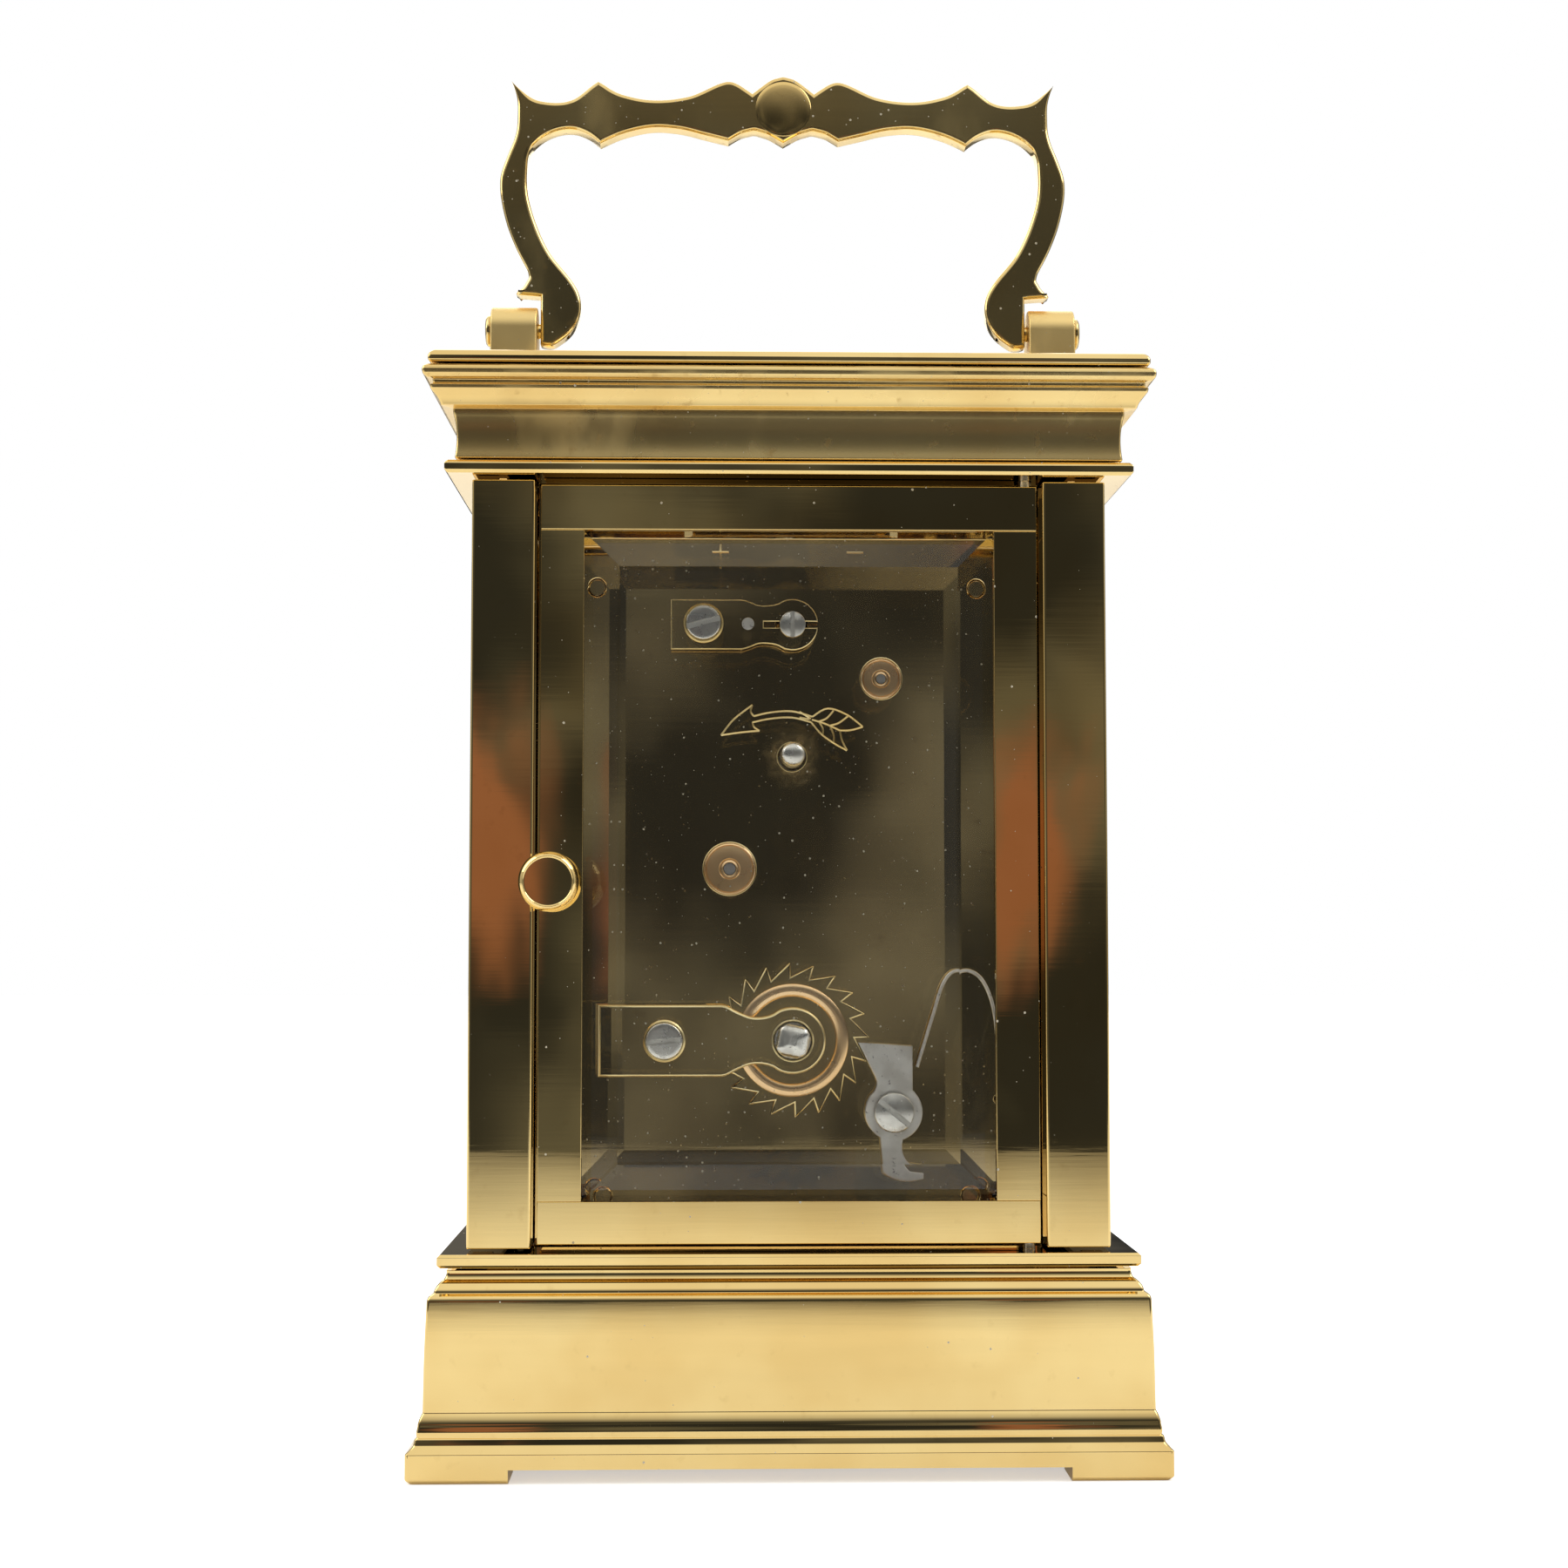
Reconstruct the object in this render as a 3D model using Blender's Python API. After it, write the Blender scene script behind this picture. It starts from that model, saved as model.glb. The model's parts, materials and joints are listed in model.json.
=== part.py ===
"""Carriage clock: a brass and glass case with a hinged rear door and a folding handle,
holding an eight-day timepiece movement with a lever platform on top.
Z is up, the dial faces -Y, the rear door faces +Y, and the feet stand on z = 0.
Sizes are in millimetres until each mesh is made."""
import math

import bmesh
import bpy
from mathutils import Vector

MM = 0.001
GAP = 0.3                      # air left between pieces that touch in the real clock

# Case
DEPTH_LESS = 5.7               # half the difference between each moulding's width and depth
FOOT_HEIGHT = 1.6
FOOT_LENGTH = 11.4
BASE_HALF = 42.65
BASE_WALL = 6.5
BASE_TOP = 22.9
BASE_PLATE_HALF = 39.65
BASE_PLATE_Z = (23.2, 24.7)
PILLAR_HALF = (36.7, 31.0)
PILLAR_SIDE = 7.3
PILLAR_Z = (25.0, 113.1)
GROOVE_DEPTH = 1.4
GROOVE_WIDTH = 2.3
SIDE_GLASS_X = 33.05
FRONT_GLASS_Y = -27.4
PANE = 2.0
CORNICE_Z = (113.4, 114.9)
CORNICE_HALF = 39.6
CROWN_Z = (115.2, 125.5)
CROWN_OPENING = (26.5, 20.8)
GLASS_REBATE = (29.6, 23.9)
TOP_PLATE_Z = (125.8, 127.35)
TOP_PLATE_HALF = 41.4
TOP_OPENING = (28.2, 22.5)

# Handle
PIVOT_Z = 138.3
HANDLE_THICK = 3.0
LUG_X = (31.65, 37.55)
LUG_HALF_DEPTH = 3.0
PIN_R = 0.95
RUN = 0.05                     # radial running clearance

# Rear door
DOOR_HALF = 28.75
DOOR_Z = (25.4, 112.6)
DOOR_Y = (26.5, 30.5)
WINDOW_HALF = 23.75
WINDOW_Z = (30.2, 107.4)
HINGE_INSET = 1.2
HINGE_R = 0.7
KNOB = (27.4, 66.6)
KNOB_R = 3.42

# Movement plates
PLATE_HALF = 26.0
PLATE_Z = (25.2, 107.2)
BACK_PLATE_Y = (17.0, 19.0)
FRONT_PLATE_Y = (-11.0, -9.0)
MOVEMENT_PILLARS = ((-21.8, 30.6), (21.8, 30.6), (-21.8, 102.2), (21.8, 102.2))

# Arbor centres in the plates, as (x, z)
BARREL = (-0.6, 48.1)
INTERMEDIATE = (6.85, 68.4)
CENTRE = (-0.6, 81.8)
THIRD = (-11.3, 91.25)
CONTRATE = (-0.6, 97.45)
CLICK = (-12.6, 39.6)
COCK_SCREW = (14.5, 48.1)
CONTRATE_COCK_SCREW = (10.0, 97.6)
MINUTE_WHEEL = (-0.6, 73.8)
SLIT = 0.68                    # sawn into the contrate cock, so that it grips its screw

# Tooth counts
BARREL_TEETH = 60
INTERMEDIATE_LEAVES = 10
INTERMEDIATE_TEETH = 48
CENTRE_LEAVES = 8
CENTRE_TEETH = 60
THIRD_LEAVES = 8
THIRD_TEETH = 48
CONTRATE_LEAVES = 6
CONTRATE_TEETH = 48
ESCAPE_LEAVES = 6
ESCAPE_TEETH = 15
RATCHET_TEETH = 20
CANNON_TEETH = 8
MINUTE_TEETH = 24
MINUTE_LEAVES = 6
HOUR_TEETH = 24
RATCHET_TIP = 9.1
RATCHET_ROOT = 7.45
RATCHET_FACE = 178.4           # degrees, of the tooth that the click holds

# Lever platform
PLATFORM_Z = (107.5, 109.0)
CROWN_WHEEL_R = 7.5
CROWN_TEETH_Y = (4.1, 5.2)
ESCAPE_PINION_R = CROWN_WHEEL_R * ESCAPE_LEAVES / CONTRATE_TEETH
ESCAPE = (CONTRATE[0], CROWN_TEETH_Y[0] + 0.38 - ESCAPE_PINION_R)
PALLET = (ESCAPE[0], ESCAPE[1] - 4.7)
BALANCE = (ESCAPE[0], PALLET[1] - 5.6)
BALANCE_R = 6.3

# Dial and hands
DIAL_Y = (-18.6, -17.4)
DIAL_HALF = 27.6
DIAL_Z = (27.4, 110.4)

LOOKS = {
    "polished_brass": ((0.83, 0.62, 0.28, 1), 1.0, 0.12),
    "movement_brass": ((0.80, 0.60, 0.30, 1), 1.0, 0.22),
    "steel": ((0.56, 0.56, 0.57, 1), 1.0, 0.25),
    "blued_steel": ((0.03, 0.05, 0.22, 1), 1.0, 0.25),
    "clear_glass": ((0.95, 0.97, 0.97, 0.25), 0.0, 0.03),
    "white_enamel": ((0.93, 0.92, 0.88, 1), 0.0, 0.15),
}


# ---------------------------------------------------------------- helpers
def clear_scene():
    for obj in list(bpy.data.objects):
        bpy.data.objects.remove(obj, do_unlink=True)


def make_looks():
    made = {}
    for name, (colour, metallic, roughness) in LOOKS.items():
        look = bpy.data.materials.new(name)
        look.use_nodes = True
        shader = look.node_tree.nodes["Principled BSDF"]
        shader.inputs["Base Color"].default_value = colour
        shader.inputs["Metallic"].default_value = metallic
        shader.inputs["Roughness"].default_value = roughness
        if colour[3] < 1:
            shader.inputs["Alpha"].default_value = colour[3]
        made[name] = look
    return made


def along(axis, a, b, h):
    """A point with plane coordinates a, b and height h along the axis, in metres."""
    if axis == "X":
        return Vector((h, a, b)) * MM
    if axis == "Y":
        return Vector((a, h, b)) * MM
    return Vector((a, b, h)) * MM


def new_object(name, bm):
    bmesh.ops.recalc_face_normals(bm, faces=bm.faces[:])
    mesh = bpy.data.meshes.new(name)
    bm.to_mesh(mesh)
    bm.free()
    obj = bpy.data.objects.new(name, mesh)
    bpy.context.scene.collection.objects.link(obj)
    return obj


def circle(centre, radius, steps=24, start=0.0):
    turn = 2 * math.pi / steps
    return [
        (centre[0] + radius * math.cos(start + turn * i),
         centre[1] + radius * math.sin(start + turn * i))
        for i in range(steps)
    ]


def arc(centre, radius, start, end, steps):
    """Points from start to end, both in degrees."""
    points = []
    for i in range(steps + 1):
        angle = math.radians(start + (end - start) * i / steps)
        points.append((centre[0] + radius * math.cos(angle),
                       centre[1] + radius * math.sin(angle)))
    return points


def rectangle(centre, half_a, half_b):
    a, b = centre
    return [(a - half_a, b - half_b), (a + half_a, b - half_b),
            (a + half_a, b + half_b), (a - half_a, b + half_b)]


def smooth_through(points, steps):
    """A smooth line through the points, its ends included."""
    ends = [points[0]] + list(points) + [points[-1]]
    line = []
    for i in range(1, len(ends) - 2):
        p0, p1, p2, p3 = ends[i - 1:i + 3]
        for k in range(steps):
            t = k / steps
            line.append(tuple(
                0.5 * (2 * b + (c - a) * t + (2 * a - 5 * b + 4 * c - d) * t * t
                       + (3 * b - a - 3 * c + d) * t ** 3)
                for a, b, c, d in zip(p0, p1, p2, p3)))
    line.append(tuple(points[-1]))
    return line


def prism(name, outline, low, high, axis="Y", holes=()):
    """A flat outline, with any holes, raised from low to high along the axis."""
    bm = bmesh.new()
    for loop in (outline, *holes):
        verts = [bm.verts.new(along(axis, a, b, low)) for a, b in loop]
        for i, vert in enumerate(verts):
            bm.edges.new((vert, verts[(i + 1) % len(verts)]))
    bmesh.ops.triangle_fill(bm, use_beauty=True, use_dissolve=False, edges=bm.edges[:],
                            normal=along(axis, 0, 0, 1).normalized())
    raised = bmesh.ops.extrude_face_region(bm, geom=bm.faces[:])
    verts = [item for item in raised["geom"] if isinstance(item, bmesh.types.BMVert)]
    bmesh.ops.translate(bm, verts=verts, vec=along(axis, 0, 0, high - low))
    return new_object(name, bm)


def box(name, low, high):
    outline = [(low[0], low[1]), (high[0], low[1]), (high[0], high[1]), (low[0], high[1])]
    return prism(name, outline, low[2], high[2], axis="Z")


def lathe(name, profile, centre=(0, 0), axis="Z", steps=32, ring=False):
    """A turned piece. The profile holds (radius, height) points, from 0 radius to 0 radius,
    or round a closed section when ring is set."""
    bm = bmesh.new()
    rows = []
    for radius, height in profile:
        if radius <= 0:
            rows.append([bm.verts.new(along(axis, centre[0], centre[1], height))])
        else:
            rows.append([bm.verts.new(along(axis, a, b, height))
                         for a, b in circle(centre, radius, steps)])
    pairs = list(zip(rows, rows[1:]))
    if ring:
        pairs.append((rows[-1], rows[0]))
    for lower, upper in pairs:
        for i in range(steps):
            k = (i + 1) % steps
            if len(lower) == 1:
                bm.faces.new((lower[0], upper[k], upper[i]))
            elif len(upper) == 1:
                bm.faces.new((lower[i], lower[k], upper[0]))
            else:
                bm.faces.new((lower[i], lower[k], upper[k], upper[i]))
    return new_object(name, bm)


def loft(name, sections, axis="Z", centre=(0, 0), ring=False):
    """Rectangles of (half size, half size, height) joined in turn: a closed moulding when
    ring is set, and a solid block otherwise."""
    bm = bmesh.new()
    rows = []
    for half_a, half_b, height in sections:
        rows.append([bm.verts.new(along(axis, a, b, height))
                     for a, b in rectangle(centre, half_a, half_b)])
    pairs = list(zip(rows, rows[1:]))
    if ring:
        pairs.append((rows[-1], rows[0]))
    for lower, upper in pairs:
        for i in range(4):
            k = (i + 1) % 4
            bm.faces.new((lower[i], lower[k], upper[k], upper[i]))
    if not ring:
        bm.faces.new(rows[0])
        bm.faces.new(rows[-1])
    return new_object(name, bm)


def tube(name, path, radius, sides=8):
    """A round wire along a path of (x, y, z) points."""
    bm = bmesh.new()
    points = [Vector(p) * MM for p in path]
    rows = []
    side = None
    for i, point in enumerate(points):
        ahead = points[min(i + 1, len(points) - 1)] - points[max(i - 1, 0)]
        ahead.normalize()
        if side is None:
            side = ahead.orthogonal().normalized()
        side = (side - ahead * side.dot(ahead)).normalized()
        up = ahead.cross(side)
        rows.append([
            bm.verts.new(point + (side * math.cos(2 * math.pi * k / sides)
                                  + up * math.sin(2 * math.pi * k / sides)) * radius * MM)
            for k in range(sides)
        ])
    for lower, upper in zip(rows, rows[1:]):
        for i in range(sides):
            k = (i + 1) % sides
            bm.faces.new((lower[i], lower[k], upper[k], upper[i]))
    bm.faces.new(rows[0])
    bm.faces.new(rows[-1])
    return new_object(name, bm)


def combine(obj, tools, operation):
    """Adds the tools to the piece, or cuts them from it, and clears the tools away."""
    for tool in tools:
        step = obj.modifiers.new("step", "BOOLEAN")
        step.operation = operation
        step.solver = "EXACT"
        step.object = tool
        graph = bpy.context.evaluated_depsgraph_get()
        mesh = bpy.data.meshes.new_from_object(obj.evaluated_get(graph))
        obj.modifiers.clear()
        obj.data = mesh
        bpy.data.objects.remove(tool, do_unlink=True)
    return obj


def fuse(obj, *tools):
    return combine(obj, tools, "UNION")


def cut(obj, *tools):
    return combine(obj, tools, "DIFFERENCE")


def finish(obj, look, pivot=None, smooth=False):
    """Gives the piece its material, and puts its origin on its joint's axis."""
    obj.data.materials.clear()
    obj.data.materials.append(looks[look])
    if pivot is not None:
        offset = Vector(pivot) * MM
        for vert in obj.data.vertices:
            vert.co -= offset
        obj.location = offset
    for polygon in obj.data.polygons:
        polygon.use_smooth = smooth
    return obj


def teeth(centre, count, pitch_r, tip, root, tip_width, root_width, phase):
    """A gear's outline. Widths are shares of the pitch, and one tooth points at the
    angle phase, in radians."""
    pitch = 2 * math.pi / count
    points = []
    for i in range(count):
        middle = phase + pitch * i
        for radius, share in ((root, -root_width), (tip, -tip_width),
                              (tip, tip_width), (root, root_width)):
            angle = middle + pitch * share / 2 * pitch_r / radius
            points.append((centre[0] + radius * math.cos(angle),
                           centre[1] + radius * math.sin(angle)))
    return points


def wheel_teeth(centre, count, module, phase):
    pitch_r = count * module / 2
    return teeth(centre, count, pitch_r, pitch_r + 0.95 * module, pitch_r - 1.25 * module,
                 0.16, 0.62, phase)


def pinion_leaves(centre, count, module, phase):
    pitch_r = count * module / 2
    return teeth(centre, count, pitch_r, pitch_r + 0.75 * module, pitch_r - 1.3 * module,
                 0.22, 0.34, phase)


def bearing(start, end):
    """The angle in radians of the line from one centre to another."""
    return math.atan2(end[1] - start[1], end[0] - start[0])


def module_of(start, end, wheel, pinion):
    return 2 * math.dist(start, end) / (wheel + pinion)


def windows(centre, inner, outer, arms, arm_width, start=0.0):
    """The openings between a wheel's arms."""
    loops = []
    for i in range(arms):
        first = start + 2 * math.pi * i / arms
        second = first + 2 * math.pi / arms
        loop = []
        for radius, order in ((outer, 1), (inner, -1)):
            edge = math.asin(arm_width / 2 / radius)
            angles = [first + edge + (second - first - 2 * edge) * k / 3 for k in range(4)]
            loop += [(centre[0] + radius * math.cos(a), centre[1] + radius * math.sin(a))
                     for a in angles[::order]]
        loops.append(loop)
    return loops


def shaft(name, centre, steps_along, axis="Y", sides=16):
    """A turned arbor from (radius, start, end) lengths in order along the axis."""
    profile = [(0, steps_along[0][1])]
    for radius, start, end in steps_along:
        profile += [(radius, start), (radius, end)]
    profile.append((0, steps_along[-1][2]))
    return lathe(name, profile, centre, axis, sides)


def screw(name, centre, head_r, head, shank_r, tip, slot_degrees, sides=18):
    """A slotted screw along Y, with a slightly domed head from head[0] to head[1]."""
    low, high = head
    piece = lathe(name, [(0, tip), (shank_r, tip), (shank_r, low), (head_r, low),
                         (head_r, high - 0.25), (head_r - 0.25, high), (0, high + 0.1)],
                  centre, "Y", sides)
    slot = prism("slot", rectangle((0, 0), head_r + 1, 0.22), high - 0.4, high + 1)
    angle = math.radians(slot_degrees)
    for vert in slot.data.vertices:
        x, z = vert.co.x, vert.co.z
        vert.co.x = x * math.cos(angle) - z * math.sin(angle) + centre[0] * MM
        vert.co.z = x * math.sin(angle) + z * math.cos(angle) + centre[1] * MM
    return cut(piece, slot)


# ---------------------------------------------------------------- case
def base():
    d = DEPTH_LESS
    h = BASE_HALF
    outer = [(h - 0.5, 0.0), (h, 0.5), (h, 3.3), (h - 0.35, 3.6), (h - 0.8, 4.1),
             (h - 0.95, 4.8), (h - 1.15, 4.9), (h - 1.1, 5.4), (h - 1.2, 6.0),
             (h - 1.25, 6.4), (h - 1.5, 7.1), (h - 1.7, 7.5), (h - 1.72, 8.3),
             (h - 1.8, 14.2), (h - 2.0, 19.6), (h - 2.2, 20.2), (h - 2.7, 20.5),
             (h - 2.8, 20.9), (h - 3.2, 21.5), (h - 3.75, 21.9), (h - 3.95, 22.4),
             (h - 3.95, BASE_TOP)]
    wall = h - BASE_WALL
    inner = [(wall - 1.5, BASE_TOP), (wall - 1.5, 20.5), (wall, 19.0), (wall, 0.0)]
    sections = [(a, a - d, z) for a, z in outer + inner]
    piece = loft("base_moulding", sections, ring=True)
    inside_x = h - FOOT_LENGTH
    inside_y = h - d - FOOT_LENGTH
    piece = cut(piece,
                box("gap", (-inside_x, -60, -5), (inside_x, 60, FOOT_HEIGHT)),
                box("gap", (-60, -inside_y, -5), (60, inside_y, FOOT_HEIGHT)))
    finish(piece, "polished_brass")

    low, high = BASE_PLATE_Z
    p = BASE_PLATE_HALF
    edge = [(p - 0.35, low), (p, low + 0.35), (p, high - 0.3), (p - 0.3, high)]
    plate = loft("base_top_plate", [(a, a - d, z) for a, z in edge])
    hinge = hinge_point()
    hole = lathe("hole", [(0, low - 1), (HINGE_R + RUN, low - 1), (HINGE_R + RUN, high + 1),
                          (0, high + 1)], hinge, "Z", 16)
    finish(cut(plate, hole), "polished_brass")


def hinge_point():
    return (-DOOR_HALF + HINGE_INSET, DOOR_Y[1] - HINGE_INSET)


def case_pillars():
    half_x, half_y = PILLAR_HALF
    s = PILLAR_SIDE
    c = 0.2
    g = GROOVE_WIDTH / 2
    for side, sx in (("left", 1), ("right", -1)):
        for end, sy in (("front", -1), ("rear", 1)):
            x0, x1 = half_x - s, half_x
            y0, y1 = half_y - s, half_y
            groove_y = -FRONT_GLASS_Y
            outline = [(x1 - c, y1), (x1, y1 - c), (x1, y0 + c), (x1 - c, y0)]
            outline += [(SIDE_GLASS_X + g, y0), (SIDE_GLASS_X + g, y0 + GROOVE_DEPTH),
                        (SIDE_GLASS_X - g, y0 + GROOVE_DEPTH), (SIDE_GLASS_X - g, y0)]
            outline += [(x0 + c, y0), (x0, y0 + c)]
            if end == "front":
                outline += [(x0, groove_y - g), (x0 + GROOVE_DEPTH, groove_y - g),
                            (x0 + GROOVE_DEPTH, groove_y + g), (x0, groove_y + g)]
            outline += [(x0, y1 - c), (x0 + c, y1)]
            placed = [(sx * a, sy * b) for a, b in outline]
            piece = prism(f"case_pillar_{end}_{side}", placed, *PILLAR_Z, axis="Z")
            finish(piece, "polished_brass")


def cornice():
    d = DEPTH_LESS
    low, high = CORNICE_Z
    p = CORNICE_HALF
    edge = [(p - 0.3, low), (p, low + 0.35), (p, high - 0.35), (p - 0.35, high)]
    sections = [(a, a - d, z) for a, z in edge]
    sections += [(CROWN_OPENING[0], CROWN_OPENING[1], high),
                 (CROWN_OPENING[0], CROWN_OPENING[1], low)]
    plate = loft("cornice_plate", sections, ring=True)
    hole = lathe("hole", [(0, low - 1), (HINGE_R + RUN, low - 1), (HINGE_R + RUN, high + 1),
                          (0, high + 1)], hinge_point(), "Z", 16)
    finish(cut(plate, hole), "polished_brass")

    low, high = CROWN_Z
    outer = [(38.35, low), (38.55, low + 0.15), (38.38, 117.0), (38.4, 118.6),
             (38.6, 119.9), (38.75, 120.6), (38.75, 120.95), (40.0, 121.1), (40.15, 121.5),
             (40.35, 121.9), (40.75, 122.4), (41.1, 122.8), (41.2, 123.25), (40.85, 123.4),
             (40.85, 123.9), (41.5, 124.0), (41.9, 124.35), (42.0, 124.8), (41.9, 125.2),
             (41.5, high)]
    sections = [(a, a - d, z) for a, z in outer]
    seat = 122.3
    sections += [(*GLASS_REBATE, high), (*GLASS_REBATE, seat),
                 (*CROWN_OPENING, seat), (*CROWN_OPENING, low)]
    finish(loft("crown_moulding", sections, ring=True), "polished_brass")

    low, high = TOP_PLATE_Z
    p = TOP_PLATE_HALF
    outer = [(p - 0.25, low), (p, low + 0.3), (p, low + 0.75), (p - 0.2, high - 0.4),
             (p - 0.55, high - 0.1), (p - 1.0, high)]
    sections = [(a, a - d, z) for a, z in outer]
    sections += [(TOP_OPENING[0] + 0.8, TOP_OPENING[1] + 0.8, high),
                 (TOP_OPENING[0], TOP_OPENING[1], high - 0.6),
                 (TOP_OPENING[0], TOP_OPENING[1], low)]
    finish(loft("top_plate", sections, ring=True), "polished_brass")

    a, b = GLASS_REBATE[0] - 0.4, GLASS_REBATE[1] - 0.4
    top = [(a, b, seat + GAP), (a, b, seat + 1.4), (a - 3.5, b - 3.5, seat + 2.9)]
    finish(loft("top_glass", top), "clear_glass")


def panes():
    half_x, half_y = PILLAR_HALF
    reach_y = half_y - PILLAR_SIDE + GROOVE_DEPTH - 0.25
    reach_x = half_x - PILLAR_SIDE + GROOVE_DEPTH - 0.25
    middle_z = (PILLAR_Z[0] + PILLAR_Z[1]) / 2
    half_z = (PILLAR_Z[1] - PILLAR_Z[0]) / 2
    thin = PANE / 2
    bevel = 3.8
    for side, sx in (("left", 1), ("right", -1)):
        x = sx * SIDE_GLASS_X
        stack = [(reach_y, half_z, x - sx * thin), (reach_y, half_z, x + sx * 0.2),
                 (reach_y - bevel, half_z - bevel, x + sx * thin)]
        finish(loft(f"side_glass_{side}", stack, "X", (0, middle_z)), "clear_glass")
    y = FRONT_GLASS_Y
    stack = [(reach_x, half_z, y + thin), (reach_x, half_z, y - 0.2),
             (reach_x - bevel, half_z - bevel, y - thin)]
    finish(loft("front_glass", stack, "Y", (0, middle_z)), "clear_glass")


def rear_door():
    x, y = hinge_point()
    pivot = (x, y, 0)
    low, high = DOOR_Y
    middle = ((DOOR_Z[0] + DOOR_Z[1]) / 2, (WINDOW_Z[0] + WINDOW_Z[1]) / 2)
    half = ((DOOR_Z[1] - DOOR_Z[0]) / 2, (WINDOW_Z[1] - WINDOW_Z[0]) / 2)
    c = 0.15
    rebate = 1.2
    lip = 1.2
    frame = loft("rear_door_frame",
                 [(DOOR_HALF, half[0], low), (DOOR_HALF, half[0], high - c),
                  (DOOR_HALF - c, half[0] - c, high),
                  (WINDOW_HALF + 0.1, half[1] + 0.1, high), (WINDOW_HALF, half[1], high - 0.1),
                  (WINDOW_HALF, half[1], high - lip),
                  (WINDOW_HALF + rebate, half[1] + rebate, high - lip),
                  (WINDOW_HALF + rebate, half[1] + rebate, low)],
                 "Y", (0, middle[0]), ring=True)
    for vert in frame.data.vertices:
        inside = abs(vert.co.x) < (WINDOW_HALF + rebate + 0.5) * MM
        if inside:
            vert.co.z += (middle[1] - middle[0]) * MM
    for z0, z1 in ((DOOR_Z[0] - 1, DOOR_Z[0] + 2.6), (DOOR_Z[1] - 2.6, DOOR_Z[1] + 1)):
        cut(frame, lathe("hole", [(0, z0), (HINGE_R + 0.02, z0), (HINGE_R + 0.02, z1), (0, z1)],
                         (x, y), "Z", 16))
    stem = [(0, low - 1), (0.75, low - 1), (0.75, high + 1), (0, high + 1)]
    cut(frame, lathe("hole", stem, KNOB, "Y", 16))
    finish(frame, "polished_brass", pivot)

    a, b = WINDOW_HALF + rebate - 0.25, half[1] + rebate - 0.25
    back = high - lip - 0.15
    pane = [(a, b, low + 0.2), (a, b, back - 1.1), (a - 5.0, b - 5.0, back)]
    finish(loft("rear_door_glass", pane, "Y", (0, middle[1])), "clear_glass", pivot)

    face = high + 4.6
    profile = [(0, low + 0.1), (0.7, low + 0.1), (0.7, high + 0.25), (1.9, high + 0.25),
               (1.7, high + 1.0), (2.2, high + 1.7), (3.15, high + 2.1),
               (KNOB_R, high + 2.7), (KNOB_R, high + 3.6), (3.2, face - 0.35),
               (2.87, face - 0.05), (2.75, face - 0.2), (0, face - 0.2)]
    finish(lathe("door_knob", profile, KNOB, "Y", 28), "polished_brass", pivot, True)

    for name, z0, z1 in (("bottom", BASE_PLATE_Z[0] + 0.2, DOOR_Z[0] + 2.4),
                         ("top", DOOR_Z[1] - 2.4, CORNICE_Z[1] - 0.2)):
        pin = lathe(f"door_pin_{name}", [(0, z0), (HINGE_R, z0), (HINGE_R, z1), (0, z1)],
                    (x, y), "Z", 16)
        finish(pin, "steel", pivot, True)


# ---------------------------------------------------------------- handle
HANDLE_TOP = (
    ((0, 171.75), (1.4, 171.4), (2.6, 170.6), (4.0, 169.5)),
    ((4.0, 169.5), (6.0, 170.8), (7.4, 171.05), (9.2, 170.4), (11.8, 169.2), (15.0, 168.6),
     (18.2, 168.65), (21.4, 169.45), (23.2, 170.5), (23.98, 170.95)),
    ((23.98, 170.95), (24.9, 170.3), (27.0, 168.65), (29.2, 168.1), (32.0, 168.45),
     (33.8, 169.6), (35.15, 170.75)),
    ((35.15, 170.75), (34.45, 168.5), (34.5, 164.4), (35.4, 161.7), (36.35, 159.1),
     (36.6, 157.2), (36.35, 154.8), (35.55, 151.6), (34.3, 148.5), (33.05, 146.1),
     (32.8, 145.1)),
    ((32.8, 145.1), (33.4, 144.0), (34.4, 142.97)),
)
HANDLE_UNDER = (
    ((31.25, 136.4), (29.8, 136.2), (27.6, 137.7), (26.4, 139.6), (26.05, 141.5),
     (26.5, 143.4), (27.75, 145.35), (29.9, 148.0), (31.4, 150.85), (32.6, 154.3),
     (33.1, 157.3), (32.9, 161.15), (32.0, 162.7), (30.45, 163.85), (28.6, 164.5),
     (26.8, 164.5), (25.0, 163.75), (23.7, 162.7)),
    ((23.7, 162.7), (21.4, 163.8), (18.8, 164.6), (16.2, 164.95), (13.0, 164.65),
     (10.4, 164.0), (7.1, 163.2)),
    ((7.1, 163.2), (5.4, 164.2), (3.75, 164.6)),
    ((3.75, 164.6), (2.0, 164.1), (0, 162.95)),
)


def handle_half():
    """The handle's outline for x above 0, from the top centre round to the lower centre."""
    line = []
    for run in HANDLE_TOP:
        line += smooth_through(run, 2)[:-1]
    line += [(34.4, 142.97), (33.9, 142.8), (31.25, 142.6)]
    for run in HANDLE_UNDER:
        line += smooth_through(run, 2)[:-1]
    line.append(HANDLE_UNDER[-1][-1])
    return line


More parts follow.
